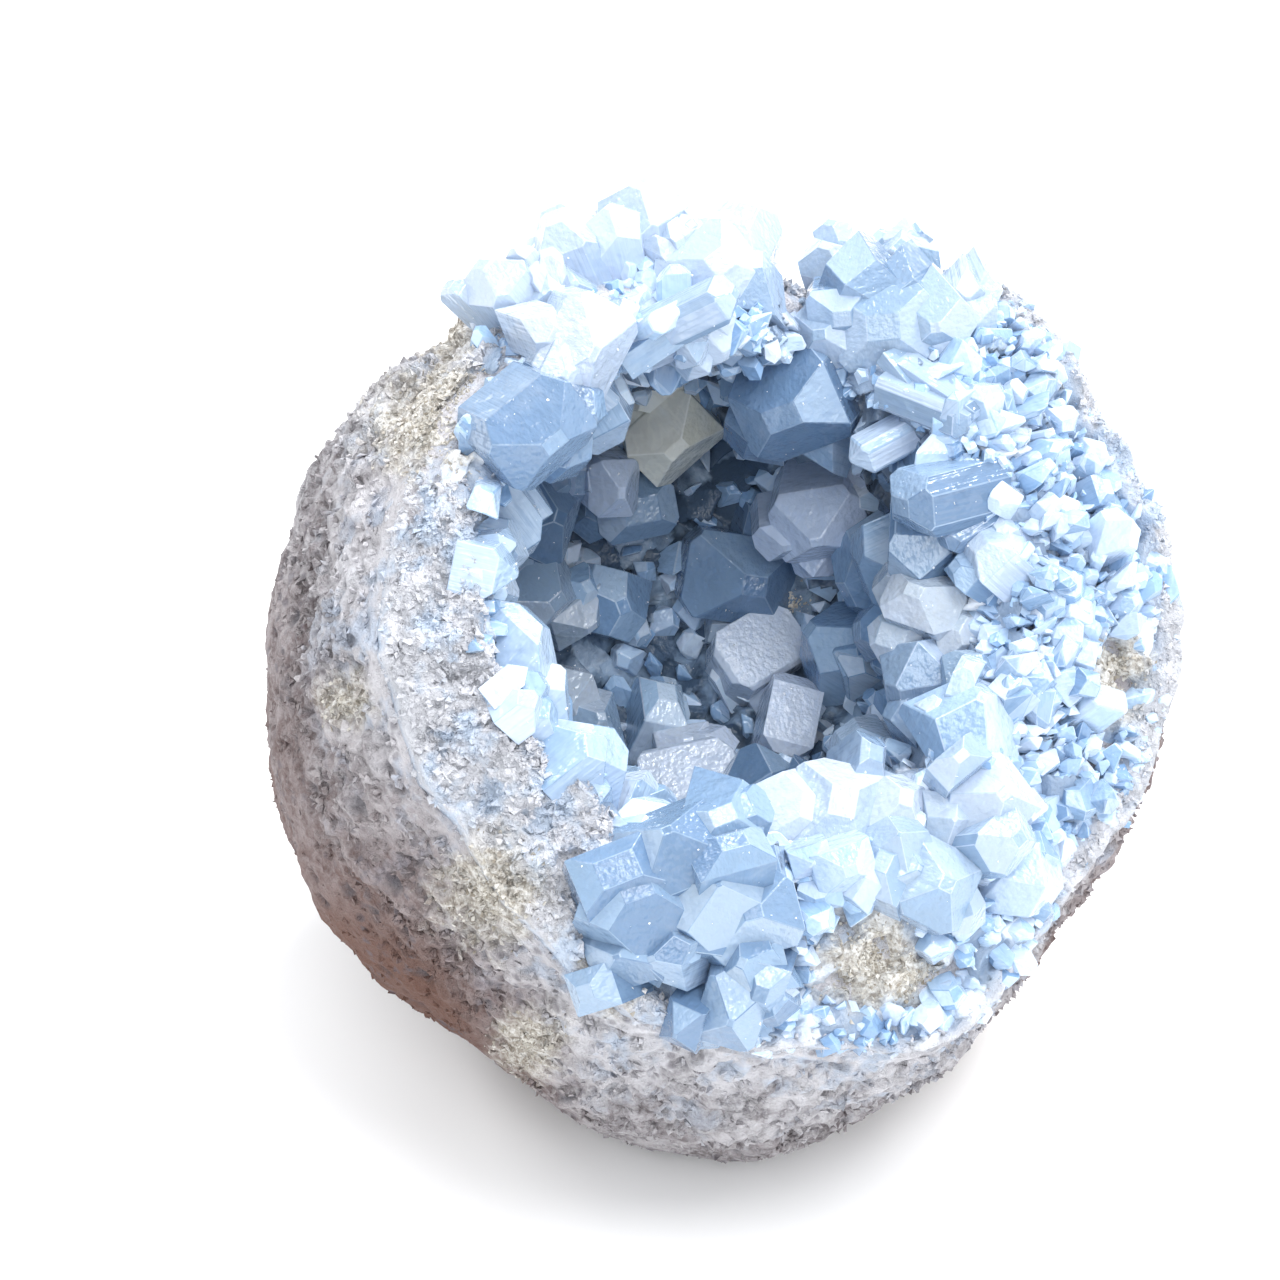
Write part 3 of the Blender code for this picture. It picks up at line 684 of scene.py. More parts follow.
def granular(tree, place):
    """(colour, rim colour, grain, mottle) of the granular stone of the rind and the broken rim."""
    grain = noise_at(tree, place, 0.9, 3, 0.7)
    mottle = noise_at(tree, place, 5, 4, 0.7)
    colour = ramp(tree, mottle, (0.34, (0.09, 0.08, 0.088)), (0.47, (0.24, 0.225, 0.24)),
                  (0.6, (0.44, 0.425, 0.445)))
    speckle = ramp(tree, grain, (0.42, 0), (0.62, 1))
    colour = mix(tree, times(tree, speckle, 0.5), colour, (0.58, 0.58, 0.61))
    shade = times(tree, minus(tree, mark(tree, "tone"), 0.5), 0.6)
    colour = mix(tree, maths(tree, "MAXIMUM", shade, 0.0), colour, (0.80, 0.80, 0.82))
    colour = mix(tree, maths(tree, "MAXIMUM", times(tree, shade, -1.0), 0.0), colour,
                 (0.07, 0.075, 0.09))
    icy = ramp(tree, noise_at(tree, place, 6, 3, 0.65), (0.5, 0), (0.62, 0.75))
    rim_colour = mix(tree, icy, mix(tree, 0.5, colour, (0.84, 0.86, 0.92)), (0.47, 0.57, 0.71))
    return colour, rim_colour, grain, mottle


def fine_pits(tree, place, size):
    """Small round pits: 1 in the middle of each, 0 between them."""
    cells = add(tree, "TexVoronoi", {"Vector": place, "Scale": 1 / (size * MM), "Randomness": 1.0})
    return ramp(tree, cells.outputs["Distance"], (0.2, 1), (0.42, 0))


def sand_colour(tree, grain):
    return ramp(tree, grain, (0.38, (0.27, 0.235, 0.19)), (0.5, (0.50, 0.465, 0.41)),
                (0.62, (0.72, 0.705, 0.67)))


def rind_material():
    """Grey-white granular stone, dark in its pits, purplish brown in patches and darker brown towards the
    bottom, partly painted shade and painted warm reflected light, sandy where matrix shows.
    """
    made, tree, shader = new_material("rind_stone")
    place = add(tree, "TexCoord").outputs["Object"]
    colour, rim_colour, grain, mottle = granular(tree, place)
    broad = noise_at(tree, place, 26, 3, 0.6)
    across, forward, height = add(tree, "SeparateXYZ", {0: place}).outputs
    # Darker towards the bottom: painted shade and painted warm reflected light below the stone.
    low = slope(tree, height, 0.07, 0.028)
    wander = minus(tree, noise_at(tree, place, 5, 4, 0.7), 0.5)
    ragged = plus(tree, mark(tree, "rimward"), times(tree, wander, 0.35))
    rimward = ramp(tree, ragged, (0.8, 0), (0.97, 1))
    colour = mix(tree, rimward, colour, rim_colour)
    front = times(tree, slope(tree, across, -0.032, -0.012), slope(tree, forward, -0.01, -0.035))
    # Purplish brown: the stone's own tint in broad patches, and towards the bottom partly painted shade.
    mauve_and_painted_shade = plus(tree, ramp(tree, broad, (0.4, 0), (0.6, 0.25)), times(tree, low, 0.95))
    mauve_and_painted_shade = times(tree, mauve_and_painted_shade, minus(tree, 0.92, times(tree, front, 0.75)))
    colour = mix(tree, mauve_and_painted_shade, colour, (0.14, 0.07, 0.052))
    dots = fine_pits(tree, place, 1.7)
    worn = ramp(tree, noise_at(tree, place, 9, 3, 0.5), (0.45, 0), (0.58, 1))
    dots = times(tree, dots, worn)
    colour = mix(tree, times(tree, dots, 0.6), colour, (0.12, 0.11, 0.13))
    shaded = plus(tree, 0.3, times(tree, mottle, 0.75))
    colour = mix(tree, times(tree, mark(tree, "pit"), shaded), colour, (0.09, 0.09, 0.105))
    colour = mix(tree, times(tree, mark(tree, "sandy"), 0.85), colour, sand_colour(tree, grain))
    tree.links.new(colour, shader.inputs["Base Color"])
    tree.links.new(ramp(tree, grain, (0.3, 0.95), (0.7, 0.7)), shader.inputs["Roughness"])
    bump = add(tree, "Bump", {"Height": grain, "Strength": 1.0, "Distance": 0.0009})
    tree.links.new(bump.outputs["Normal"], shader.inputs["Normal"])
    return made


def bed_material():
    """Massive sugary celestite: icy white on the rim, darker slate blue down in the hollow, the darkening
    painted shade of its depth.
    """
    made, tree, shader = new_material("crust_matrix")
    place = add(tree, "TexCoord").outputs["Object"]
    _, rim_colour, grain, _ = granular(tree, place)
    mottle = noise_at(tree, place, 4, 3, 0.6)
    mottle = plus(tree, mottle, times(tree, minus(tree, mark(tree, "tone"), 0.5), 0.25))
    pale = ramp(tree, mottle, (0.35, (0.24, 0.32, 0.44)), (0.52, (0.46, 0.55, 0.68)),
                (0.66, (0.78, 0.83, 0.90)))
    # Painted shade of the hollow: dark slate blue where the bed lies deep.
    dark = ramp(tree, mottle, (0.35, (0.07, 0.11, 0.17)), (0.65, (0.30, 0.41, 0.55)))
    colour = mix(tree, mark(tree, "deep"), pale, dark)
    colour = mix(tree, mark(tree, "bare"), colour, rim_colour)
    colour = mix(tree, times(tree, mark(tree, "sandy"), 0.9), colour, sand_colour(tree, grain))
    tree.links.new(colour, shader.inputs["Base Color"])
    tree.links.new(ramp(tree, mark(tree, "bare"), (0, 0.16), (1, 0.7)), shader.inputs["Roughness"])
    height = times(tree, grain, plus(tree, 0.4, mark(tree, "bare")))
    bump = add(tree, "Bump", {"Height": height, "Strength": 0.9, "Distance": 0.0008})
    tree.links.new(bump.outputs["Normal"], shader.inputs["Normal"])
    return made


def crystal_material(name, clear, milky, see_through, absorbed=None, density=0):
    """See-through crystal with milky clouds and veils, striated along its length, with a painted highlight
    on its worn edges and a random painted shade on each facet.

    clear and milky are colours for crystals of tone 0, 1/4, 1/2 and 1.
    """
    made, tree, shader = new_material(name)
    local = add(tree, "Attribute", attribute_name="local", attribute_type="GEOMETRY").outputs["Vector"]
    tone = mark(tree, "tone")
    stretched = add(tree, "Mapping", {"Vector": local, "Scale": (1.0, 1.0, 0.45)}).outputs["Vector"]
    veil = add(tree, "TexNoise", {"Vector": stretched, "Scale": 0.2, "Detail": 3.0, "Roughness": 0.6,
                                  "Distortion": 0.5}).outputs["Fac"]
    thin = ramp(tree, veil, (0.455, 0), (0.485, 1), (0.5, 1), (0.53, 0))
    cloud = ramp(tree, veil, (0.5, 0), (0.72, 1))
    # A random lighter or darker tone on each facet: painted shade and highlight, in place of facets
    # catching the light differently.
    facet_painted_shade = minus(tree, mark(tree, "facet_painted_shade"), 0.5)
    worn = mark(tree, "worn")
    haze = plus(tree, mark(tree, "haze"), times(tree, cloud, 0.3))
    haze = plus(tree, haze, times(tree, thin, 0.15))
    haze = plus(tree, haze, times(tree, facet_painted_shade, 0.3))
    # Worn edge strips hazier: part of the painted highlight along the edges.
    haze = plus(tree, haze, times(tree, worn, 0.1), clamp=True)
    tone = plus(tree, tone, times(tree, facet_painted_shade, 0.5), clamp=True)
    clears = ramp(tree, tone, *zip((0, 0.25, 0.5, 1), clear))
    milks = ramp(tree, tone, *zip((0, 0.25, 0.5, 1), milky))
    milky_and_edge_highlight = mix(tree, times(tree, cloud, 0.3), milks, (0.74, 0.83, 0.95))
    # Worn edge strips whiter: a painted highlight along the edges.
    milky_and_edge_highlight = mix(tree, times(tree, worn, 0.12), milky_and_edge_highlight, (0.86, 0.92, 0.98))
    tree.links.new(mix(tree, haze, clears, milky_and_edge_highlight), shader.inputs["Base Color"])
    tree.links.new(minus(tree, see_through, times(tree, haze, 0.8 * see_through)),
                   shader.inputs["Transmission Weight"])
    rough = maths(tree, "MULTIPLY_ADD", haze, 0.16)
    rough.node.inputs[2].default_value = 0.02
    tree.links.new(rough, shader.inputs["Roughness"])
    shader.inputs["IOR"].default_value = 1.62
    lines = add(tree, "Mapping", {"Vector": local, "Scale": (1.9, 1.9, 0.09)}).outputs["Vector"]
    stripes = add(tree, "TexNoise", {"Vector": lines, "Scale": 1.0, "Detail": 2.0}).outputs["Fac"]
    waves = add(tree, "TexNoise", {"Vector": local, "Scale": 0.45, "Detail": 2.0}).outputs["Fac"]
    height = plus(tree, stripes, times(tree, waves, 2.2))
    bump = add(tree, "Bump", {"Height": height, "Strength": 0.45, "Distance": 0.0004})
    tree.links.new(bump.outputs["Normal"], shader.inputs["Normal"])
    if density:
        volume = add(tree, "VolumeAbsorption", {"Color": (*absorbed, 1), "Density": density})
        tree.links.new(volume.outputs["Volume"], tree.nodes["Material Output"].inputs["Volume"])
    return made


def prototypes(count, chance, worn=0.0):
    """Unit crystals and broken pieces, one millimetre wide, for the many small ones."""
    shapes = []
    for _ in range(count):
        long = chance.uniform(7, 16)
        planes = crystal_planes(10, chance.uniform(4.5, 9), long, chance.uniform(0, 0.2), chance,
                                chance.choice(("all", "slanting", "slanting")))
        shapes.append(scaled(cut_crystal(planes, worn * 10), 0.1))
        shapes.append(shard(chance, 13, worn))
        shapes.append(shard(chance, 10, worn))
    return shapes


def shard(chance, corners, worn=0.0):
    """A broken piece: the hull of a few points spread over an egg."""
    mesh = bmesh.new()
    for _ in range(corners):
        way = Vector([chance.gauss(0, 1) for _ in range(3)]).normalized()
        mesh.verts.new((way.x * 0.55, way.y * 0.42, way.z * 0.75 + 0.25))
    hull = bmesh.ops.convex_hull(mesh, input=mesh.verts)
    bmesh.ops.delete(mesh, geom=[piece for piece in hull["geom_interior"]
                                 if isinstance(piece, bmesh.types.BMVert)], context="VERTS")
    bmesh.ops.dissolve_limit(mesh, angle_limit=math.radians(14), verts=mesh.verts, edges=mesh.edges)
    return finished_shape(mesh, worn)


# Zones of the rim by psi, in degrees: spacing, widths, share of places taken, haze of root and tip.
Zone = namedtuple("Zone", "spacing narrow wide taken root tip")
HOLLOW_ZONE = Zone(4.6, 2.6, 6.0, 0.8, 0.35, 0.1)
LEFT_ZONE = Zone(3.4, 1.2, 2.2, 0.0, 0.8, 0.5)
ZONES = (
    (75, Zone(3.3, 2.6, 6.4, 1.0, 0.45, 0.15)),
    (155, Zone(3.2, 2.6, 6.0, 1.0, 0.5, 0.15)),
    (250, LEFT_ZONE),
    (310, Zone(3.2, 2.8, 6.5, 1.0, 0.45, 0.15)),
    (360, Zone(3.3, 2.6, 6.6, 1.0, 0.45, 0.15)),
)
LIP_SHARE = 0.66


def zone_at(psi, share):
    degrees = math.degrees(psi) % 360
    if share < LIP_SHARE or (share < 0.76 and 155 < degrees < 250):
        return HOLLOW_ZONE
    return next(zone for end, zone in ZONES if degrees <= end)


def thinned(psi, share):
    """Share of small crystals left: few on the inner lip of the granular side."""
    return 0.15 if share > 0.6 and 150 < math.degrees(psi) % 360 < 255 else 1.0


def edge_table(count=360):
    """Broken edge points at even angles, for quick reading between them."""
    return [edge_point(psi) for psi in full_turn(count)]


def edge_between(table, psi):
    place = (psi / math.tau) % 1 * len(table)
    index = int(place)
    return table[index].lerp(table[(index + 1) % len(table)], place - index)


def quick_normal(table, psi, share, here):
    """As bed_normal, with the edge read from the table."""
    along = fracture_point(psi, min(share + 0.02, 1), edge_between(table, psi), BED_FACE) - here
    if share > 0.98:
        along = here - fracture_point(psi, share - 0.02, edge_between(table, psi), BED_FACE)
    beside = psi + 0.05
    round_it = fracture_point(beside, share, edge_between(table, beside), BED_FACE) - here
    return along.cross(round_it).normalized()


class Spacing:
    """Keeps points apart with a grid of cells."""

    def __init__(self, cell):
        self.cell, self.held = cell, {}

    def take(self, point, distance):
        key = tuple(int(math.floor(value / self.cell)) for value in point)
        reach = int(math.ceil(distance / self.cell))
        around = range(-reach, reach + 1)
        for x in around:
            for y in around:
                for z in around:
                    for other in self.held.get((key[0] + x, key[1] + y, key[2] + z), ()):
                        if (other - point).length < distance:
                            return False
        self.held.setdefault(key, []).append(point)
        return True


def small_crystals(table, shapes, tries, seed, low_share, high_share, scale, name):
    """Small crystals over the bed between two shares of its course, sized by zone."""
    chance = random.Random(seed)
    cluster, spacing = Cluster(), Spacing(3.0)
    for _ in range(tries):
        psi = chance.uniform(0, math.tau)
        share = chance.uniform(low_share, high_share)
        zone = zone_at(psi, share)
        draw, size_draw = chance.random(), chance.random() ** 1.8
        if draw > zone.taken * thinned(psi, share):
            continue
        here = fracture_point(psi, share, edge_between(table, psi), BED_FACE)
        if in_cleft(here):
            continue
        wide = scale * (zone.narrow + (zone.wide - zone.narrow) * size_draw)
        if sandy(here) > 0.3 or not spacing.take(here, scale * zone.spacing * (0.6 + 0.5 * size_draw)):
            continue
        normal = quick_normal(table, psi, share, here)
        patch = noise.noise_vector(here / 11) * 1.1
        sway = Vector([chance.gauss(0, 0.22) for _ in range(3)]) + patch
        axis = (normal + sway).normalized()
        roll = 3 * noise.noise(here / 9) + chance.gauss(0, 0.3)
        sunk = chance.uniform(0.3, 0.6) + 0.3 * smooth_step((share - 0.88) / 0.12)
        matrix = placing(CENTRE + here - normal * sunk * wide, axis, roll)
        shape = chance.choice(shapes)
        stretch = np.array((1, chance.uniform(0.8, 1.15), chance.uniform(0.8, 1.3))) * wide
        cloud = chance.uniform(-0.2, 0.2)
        tone = 0.7 * chance.random() if zone is HOLLOW_ZONE else chance.uniform(0.1, 0.7)
        cluster.add_crystal(scaled(shape, stretch), matrix, tone, zone.root + cloud, zone.tip + cloud)
    return cluster.build(name)


def tree_of(pieces):
    """For rays: the faces of pieces, in millimetres."""
    points, faces = [], []
    for piece in pieces:
        start = len(points)
        points += [vert.co / MM for vert in piece.data.vertices]
        faces += [tuple(start + index for index in face.vertices) for face in piece.data.polygons]
    return BVHTree.FromPolygons(points, faces)


def strewn(cluster, shapes, chance, point, normal, width, **marks):
    """One broken piece set half into a surface."""
    axis = (normal + Vector([chance.gauss(0, 0.8) for _ in range(3)])).normalized()
    matrix = placing(point - normal * 0.3 * width, axis, chance.uniform(0, math.tau))
    cluster.add(scaled(chance.choice(shapes), width), matrix, **marks)


def rim_grains(ground, table, shapes, chance):
    """Grains of the broken left rim and of the outer edge all round."""
    cluster = Cluster()
    for _ in range(RIM_GRAIN_TRIES):
        psi, share = chance.uniform(0, math.tau), chance.uniform(0.71, 1)
        if chance.random() > bareness(psi, share):
            continue
        here = fracture_point(psi, share, edge_between(table, psi), BED_FACE)
        width = 0.5 + 1.1 * chance.random() ** 3
        normal = quick_normal(table, psi, share, here)
        point, facing = ground.ray_cast(CENTRE + here + normal * 9, -normal, 14)[:2]
        if share > 0.98:
            # The step between the crust and the stone's outside.
            point = CENTRE + here - AXIS * chance.uniform(0, 3)
            facing = (here - AXIS * here.dot(AXIS)).normalized()
        if point is not None:
            strewn(cluster, shapes, chance, point, facing, width, tone=chance.random(), bare=1.0,
                   deep=0.0, sandy=sandy(here))
    return cluster.build("rim_grains")


def rind_grains(shapes, chance):
    """Grains over the stone's outside, sunk in it, with its pits left open."""
    cluster = Cluster()
    turns = [edge_turn(psi) for psi in full_turn(360)]
    for _ in range(RIND_GRAIN_TRIES):
        way = Vector([chance.gauss(0, 1) for _ in range(3)]).normalized()
        turn = math.acos(max(-1.0, min(1.0, -way.dot(AXIS))))
        psi = math.atan2(way.dot(HEAD), way.dot(SIDE)) % math.tau
        share = turn / turns[int(math.degrees(psi)) % 360]
        near = smooth_step((share - 0.7) / 0.14)
        width = 0.8 + (1.3 - 0.6 * near) * chance.random() ** 2
        draw = chance.gauss(0.05 + 0.12 * near, 0.18)
        sunk = 0.48 - 0.3 * near
        point = way * (stone_radius(way) - 0.2 - sunk * width)
        if share > 1.01 or (CENTRE + point).z < 1.5 or pit(point) > 0.15:
            continue
        tone = min(1.0, max(0.0, 0.5 + 0.5 * noise.noise(point / 5) + draw))
        strewn(cluster, shapes, chance, CENTRE + point, way, width,
               tone=tone, pit=0.0, rimward=share, sandy=sandy(point))
    return cluster.build("rind_grains")


def matrix_crumbs(ground, shapes, chance):
    """Sandy crumbs on the patches where matrix shows."""
    cluster = Cluster()
    eye = CENTRE + OUT * EYE_DISTANCE
    for across, up, radius in SANDY:
        for _ in range(int(18 * radius ** 2)):
            turn, reach = chance.uniform(0, math.tau), radius * min(1.3, abs(chance.gauss(0, 0.6)))
            aim = CENTRE + RIGHT * (across + reach * math.cos(turn)) + UP * (up + reach * math.sin(turn))
            point, normal = ground.ray_cast(eye, (aim - eye).normalized())[:2]
            if point is not None:
                width = 0.25 + 0.6 * chance.random() ** 2
                strewn(cluster, shapes, chance, point, normal, width, tone=chance.random())
    return cluster.build("matrix_crumbs")


def white_dust(ground, shapes, chance):
    """White specks strewn over the crystals from the open side."""
    cluster = Cluster()
    for _ in range(900):
        start = (CENTRE + AXIS * 90 + SIDE * (MOUTH_SIDE + chance.gauss(0, 22))
                 + HEAD * (MOUTH_HEAD + chance.gauss(0, 22)))
        sway = Vector([chance.gauss(0, 0.15) for _ in range(3)])
        point, normal = ground.ray_cast(start, (sway - AXIS).normalized())[:2]
        if point is not None:
            width = 0.15 + 0.3 * chance.random() ** 3
            strewn(cluster, shapes, chance, point, normal, width, tone=chance.random())
    return cluster.build("white_dust")


def round_mouth(way):
    """Where a point from the middle stands round the mouth: angle in degrees, distance out of it."""
    side, head = way.dot(SIDE) - MOUTH_SIDE, way.dot(HEAD) - MOUTH_HEAD
    angle = math.atan2(head, side)
    return math.degrees(angle) % 360, math.hypot(side, head) - periodic(MOUTH, angle)


def companions(shape_size, matrix, chance, count, sizes, spread, sway=0.2):
    """(planes, matrix) of crystals grown along with a larger one: beside it and nearly parallel."""
    wide, high = shape_size
    for _ in range(count):
        size = chance.uniform(*sizes)
        turn = chance.uniform(0, math.tau)
        offset = Vector((math.cos(turn) * spread * wide, math.sin(turn) * 0.9 * spread * wide,
                         chance.uniform(-0.15, 0.1) * high))
        thick = wide * size * chance.uniform(0.45, 0.9)
        long = high * min(1.0, size * chance.uniform(1.0, 1.6))
        planes = crystal_planes(wide * size, thick, long, chance.uniform(0, 0.35), chance,
                                chance.choice(("square", "all", "slanting", "slanting")))
        twist = (Matrix.Rotation(chance.gauss(0, sway), 4, "X")
                 @ Matrix.Rotation(chance.gauss(0, sway), 4, "Y"))
        yield planes, matrix @ Matrix.Translation(offset) @ twist


def large_crystals(keys, chance):
    """The listed crystals, each with its own look and with smaller ones grown beside it."""
    clusters = {"honey_crystal": Cluster(), "large_crystals": Cluster()}
    for key, (point, axis, roll, planes, wide) in zip(KEYS, keys):
        cluster = clusters["honey_crystal" if key.name == "honey" else "large_crystals"]
        matrix = placing(point, axis, roll)
        tone, root, tip = key.look
        shape = cut_crystal(planes, EDGE_WEAR_AND_HIGHLIGHT)
        size = wide, shape.points[:, 2].max()
        clustered = key.name.startswith(("top", "lobe", "front", "right"))
        main, count = (0.8, 6) if clustered else (0.92, 3)
        cluster.add_crystal(scaled(shape, main), matrix, tone, root, tip)
        for extra, place in companions(size, matrix, chance, count, (0.35, 0.65), 0.42):
            if in_cleft(place @ Vector((0, 0, 2)) - CENTRE):
                continue
            own = min(1.0, max(0.0, tone + chance.gauss(0, 0.15)))
            cloud = chance.gauss(0, 0.1)
            shape = cut_crystal(extra, 0.6 * EDGE_WEAR_AND_HIGHLIGHT)
            cluster.add_crystal(shape, place, own, root + cloud, tip + cloud)
    return [cluster.build(name) for name, cluster in clusters.items()]


def hides(point, wide, keys):
    """Whether a crystal at a point would stand before one of the crystals that should be seen."""
    across, up = as_seen(point - CENTRE)
    for key, (root, _, _, _, _) in zip(KEYS, keys):
        near = math.hypot(across - key.across, up - key.up) < 0.4 * (key.wide + wide)
        if near and key.name in SEEN and (point - root).dot(OUT) > 2:
            return True
    return False


# Scattered crystals: share of its size that the main one keeps, number, sizes and sway of those beside it.
WHOLE = 0.95, 3, (0.4, 0.7), 0.25
BROKEN_UP = 0.5, 6, (0.3, 0.55), 0.5


def medium_crystals(found, keys, chance):
    """The scattered crystals of the solids: whole in the hollow, broken up on the rim."""
    cluster = Cluster()
    for point, axis, roll, planes, wide in found:
        way = point - CENTRE
        angle, beyond = round_mouth(way)
        on_rim = way.dot(AXIS) > 16
        granular_side = 155 < angle < 250 and beyond > -3
        bare = on_rim and (granular_side or sandy(way) > 0.4 or in_cleft(way))
        if bare or hides(point, wide, keys):
            continue
        fine_side = on_rim and beyond > 0 and (angle < 72 or angle > 318)
        root, tip = haze_by_place(point)
        matrix = placing(point, axis, roll)
        shape = cut_crystal(planes, EDGE_WEAR_AND_HIGHLIGHT)
        size = wide, shape.points[:, 2].max()
        main, count, sizes, sway = BROKEN_UP if fine_side else WHOLE
        # Darker tones down in the hollow than on the rim: painted shade of its depth.
        low, high = (0.2, 0.65) if on_rim else (0, 0.5)
        cluster.add_crystal(scaled(shape, main), matrix, chance.uniform(low, high), root, tip)
        for extra, place in companions(size, matrix, chance, count, sizes, 0.45, sway):
            shape = cut_crystal(extra, 0.6 * EDGE_WEAR_AND_HIGHLIGHT)
            if fine_side:
                shape = scaled(shard(chance, 14, 0.02), wide * chance.uniform(0.35, 0.6))
            cluster.add_crystal(shape, place, chance.uniform(low, high), root, tip)
    return cluster.build("medium_crystals")


def haze_by_place(point):
    """(root, tip) cloudiness: clear and dark in the hollow, milky on the rim."""
    rim = smooth_step(((point - CENTRE).dot(AXIS) - 8) / 20)
    wander = 0.2 * noise.noise(point / 9)
    return 0.22 + 0.25 * rim + wander, 0.12 + 0.15 * rim + wander


def material_on(piece, material):
    piece.data.materials.clear()
    piece.data.materials.append(material)


def sun(name, place, strength, spread):
    """Even soft light that comes from a place, as seen from the stone, spread over some degrees."""
    data = bpy.data.lights.new(name, "SUN")
    data.energy = strength
    data.angle = math.radians(spread)
    made = bpy.data.objects.new(name, data)
    bpy.context.scene.collection.objects.link(made)
    made.rotation_mode = "QUATERNION"
    made.rotation_quaternion = (-Vector(place)).to_track_quat("-Z", "Y")


def studio():
    """Plain pale floor, soft white surroundings, and a broad light from above and behind on the right."""
    floor_data = bpy.data.meshes.new("floor")
    reach = 3.0
    corners = [(-reach, -reach, 0), (reach, -reach, 0), (reach, reach, 0), (-reach, reach, 0)]
    floor_data.from_pydata(corners, [], [(0, 1, 2, 3)])
    floor = bpy.data.objects.new("floor", floor_data)
    bpy.context.scene.collection.objects.link(floor)
    made, _, shader = new_material("pale_floor")
    shader.inputs["Base Color"].default_value = (0.9, 0.9, 0.9, 1)
    shader.inputs["Roughness"].default_value = 0.6
    material_on(floor, made)
    sun("key", (220, 330, 520), 1.85, 20)
    sun("left_light", (-420, 160, 480), 0.6, 16)
    sun("top_light", (160, -110, 480), 1.4, 22)
    sun("front_light", (20, -400, 360), 1.05, 36)
    world = bpy.data.worlds.new("surroundings")
    world.use_nodes = True
    tree = world.node_tree
    towards = add(tree, "TexCoord").outputs["Generated"]
    bright_side = Vector((0.35, 0.45, 0.82)).normalized()
    along = add(tree, "VectorMath", {0: towards, 1: tuple(bright_side)}, operation="DOT_PRODUCT")
    lit = add(tree, "MapRange", {"Value": along.outputs["Value"], "From Min": -0.3, "From Max": 0.95,
                                 "To Min": DIM_SIDE, "To Max": BRIGHT_SIDE})
    tree.links.new(lit.outputs["Result"], tree.nodes["Background"].inputs["Strength"])
    tree.nodes["Background"].inputs["Color"].default_value = (0.94, 0.97, 1.0, 1)
    bpy.context.scene.world = world
    bpy.context.scene.view_settings.view_transform = "Standard"


def camera():
    """The eye of the solids' outline, aimed so that the stone sits in the frame as in the photograph."""
    data = bpy.data.cameras.new("camera")
    data.sensor_width = 36
    data.lens = EYE_DISTANCE * data.sensor_width / (FRAME_PIXELS * MM_PER_PIXEL)
    data.clip_start, data.clip_end = 0.01, 20
    made = bpy.data.objects.new("camera", data)
    bpy.context.scene.collection.objects.link(made)
    eye = CENTRE + OUT * EYE_DISTANCE
    middle = FRAME_PIXELS / 2
    aim = (CENTRE + RIGHT * ((middle - CENTRE_PIXEL[0]) * MM_PER_PIXEL)
           + UP * ((CENTRE_PIXEL[1] - middle) * MM_PER_PIXEL))
    made.location = eye * MM
    made.rotation_mode = "QUATERNION"
    made.rotation_quaternion = (aim - eye).to_track_quat("-Z", "Y")
    bpy.context.scene.camera = made


# How many places are tried for each kind of small piece. Those that don't suit are left out.
SMALL_TRIES, DRUSE_TRIES, RIM_GRAIN_TRIES, RIND_GRAIN_TRIES = 9000, 7000, 26000, 17000

# Brightness of the surroundings away from the light and towards it.
DIM_SIDE, BRIGHT_SIDE = 0.58, 1.55

# The photograph's frame: its width in pixels, the pixel of the stone's middle, and the scale there.
FRAME_PIXELS = 1280
CENTRE_PIXEL = (718, 655)
MM_PER_PIXEL = 0.12

# Colours of crystals for tone 0, 1/4, 1/2 and 1: where they are clear, and where they are cloudy.
CLEAR = ((0.26, 0.43, 0.68), (0.48, 0.68, 0.91), (0.70, 0.84, 0.98), (0.87, 0.93, 1.0))
MILKY = ((0.06, 0.10, 0.18), (0.16, 0.26, 0.43), (0.33, 0.46, 0.68), (0.64, 0.75, 0.94))
HONEY_CLEAR = ((0.85, 0.85, 0.55), (0.90, 0.90, 0.66), (0.94, 0.93, 0.74), (0.96, 0.96, 0.86))
HONEY_MILKY = ((0.45, 0.44, 0.24), (0.66, 0.64, 0.38), (0.84, 0.82, 0.58), (0.98, 0.97, 0.87))


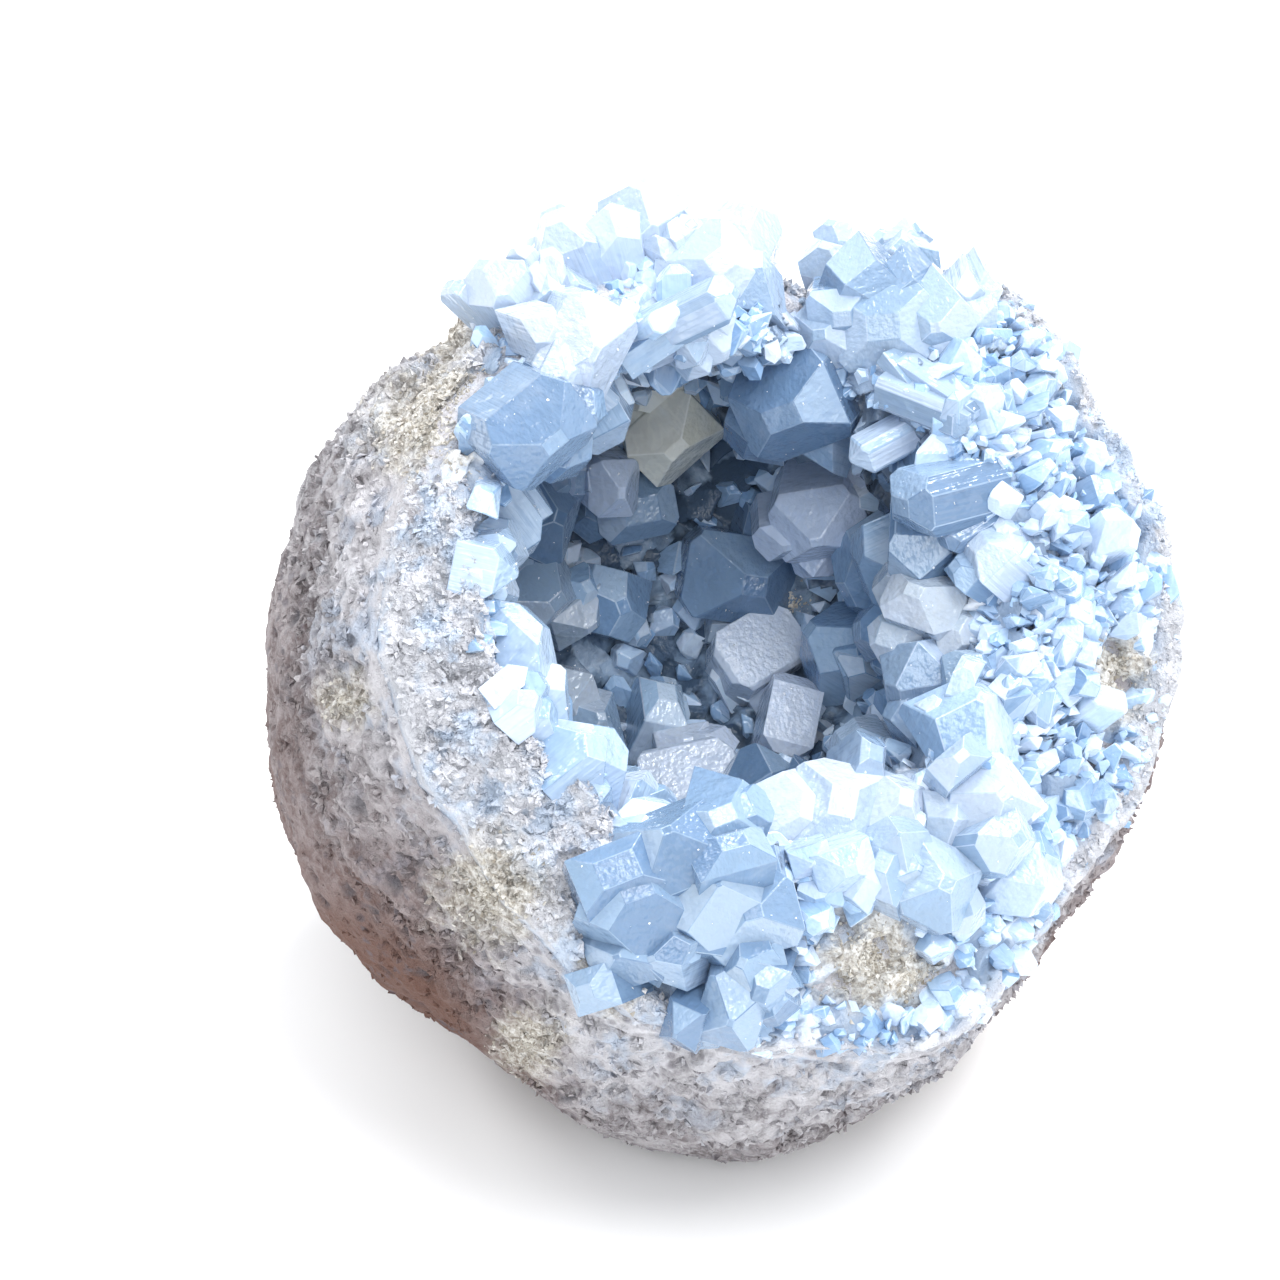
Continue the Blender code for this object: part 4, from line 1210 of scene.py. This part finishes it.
def main():
    rind = stone_surface()
    material_on(rind, rind_material())
    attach(rind, "root")
    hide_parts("rind")

    bed = bed_surface()
    material_on(bed, bed_material())

    chance = random.Random(SEED)
    keys = key_crystals(coarse_bed_tree(), chance)
    scattered = scattered_crystals(keys, chance)
    grown = random.Random(SEED + 1)
    honey, large = large_crystals(keys, grown)
    medium = medium_crystals(scattered, keys, grown)

    table = edge_table()
    worn, sharp = prototypes(20, random.Random(31), 0.03), prototypes(20, random.Random(31))
    small = small_crystals(table, worn, SMALL_TRIES, 41, 0.08, 0.985, 1.0, "small_crystals")
    druse = small_crystals(table, sharp, DRUSE_TRIES, 43, LIP_SHARE, 1.0, 0.5, "druse")

    shards = random.Random(33)
    pebbles = [shard(shards, 7) for _ in range(30)]
    rim = rim_grains(tree_of([rind, bed]), table, pebbles, random.Random(51))
    outside = rind_grains(pebbles, random.Random(57))
    crumbs = matrix_crumbs(tree_of([rind, bed]), pebbles, random.Random(53))
    dust = white_dust(tree_of([bed, large, medium, small]), pebbles, random.Random(55))
    material_on(rim, bed.data.materials[0])
    material_on(outside, rind.data.materials[0])
    material_on(crumbs, grains_material("sandy_crumbs", (0.30, 0.265, 0.215), (0.70, 0.68, 0.635)))
    material_on(dust, grains_material("dust", (0.7, 0.74, 0.78), (0.95, 0.96, 0.97)))
    for piece in (rim, outside, crumbs, dust):
        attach(piece, "root")

    blue = crystal_material("celestite", CLEAR, MILKY, 0.5, (0.42, 0.61, 0.84), 80)
    cloudy = crystal_material("cloudy_celestite", CLEAR, MILKY, 0.25)
    fine = crystal_material("small_celestite", CLEAR, MILKY, 0.05)
    material_on(honey, crystal_material("honey_celestite", HONEY_CLEAR, HONEY_MILKY, 0.5,
                                        (0.86, 0.82, 0.55), 15))
    material_on(large, blue)
    material_on(medium, cloudy)
    for piece in (small, druse):
        material_on(piece, fine)
    for piece in (bed, honey, large, medium, small, druse):
        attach(piece, "root")
    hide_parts("crystal_crust")

    studio()
    camera()
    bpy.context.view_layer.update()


main()
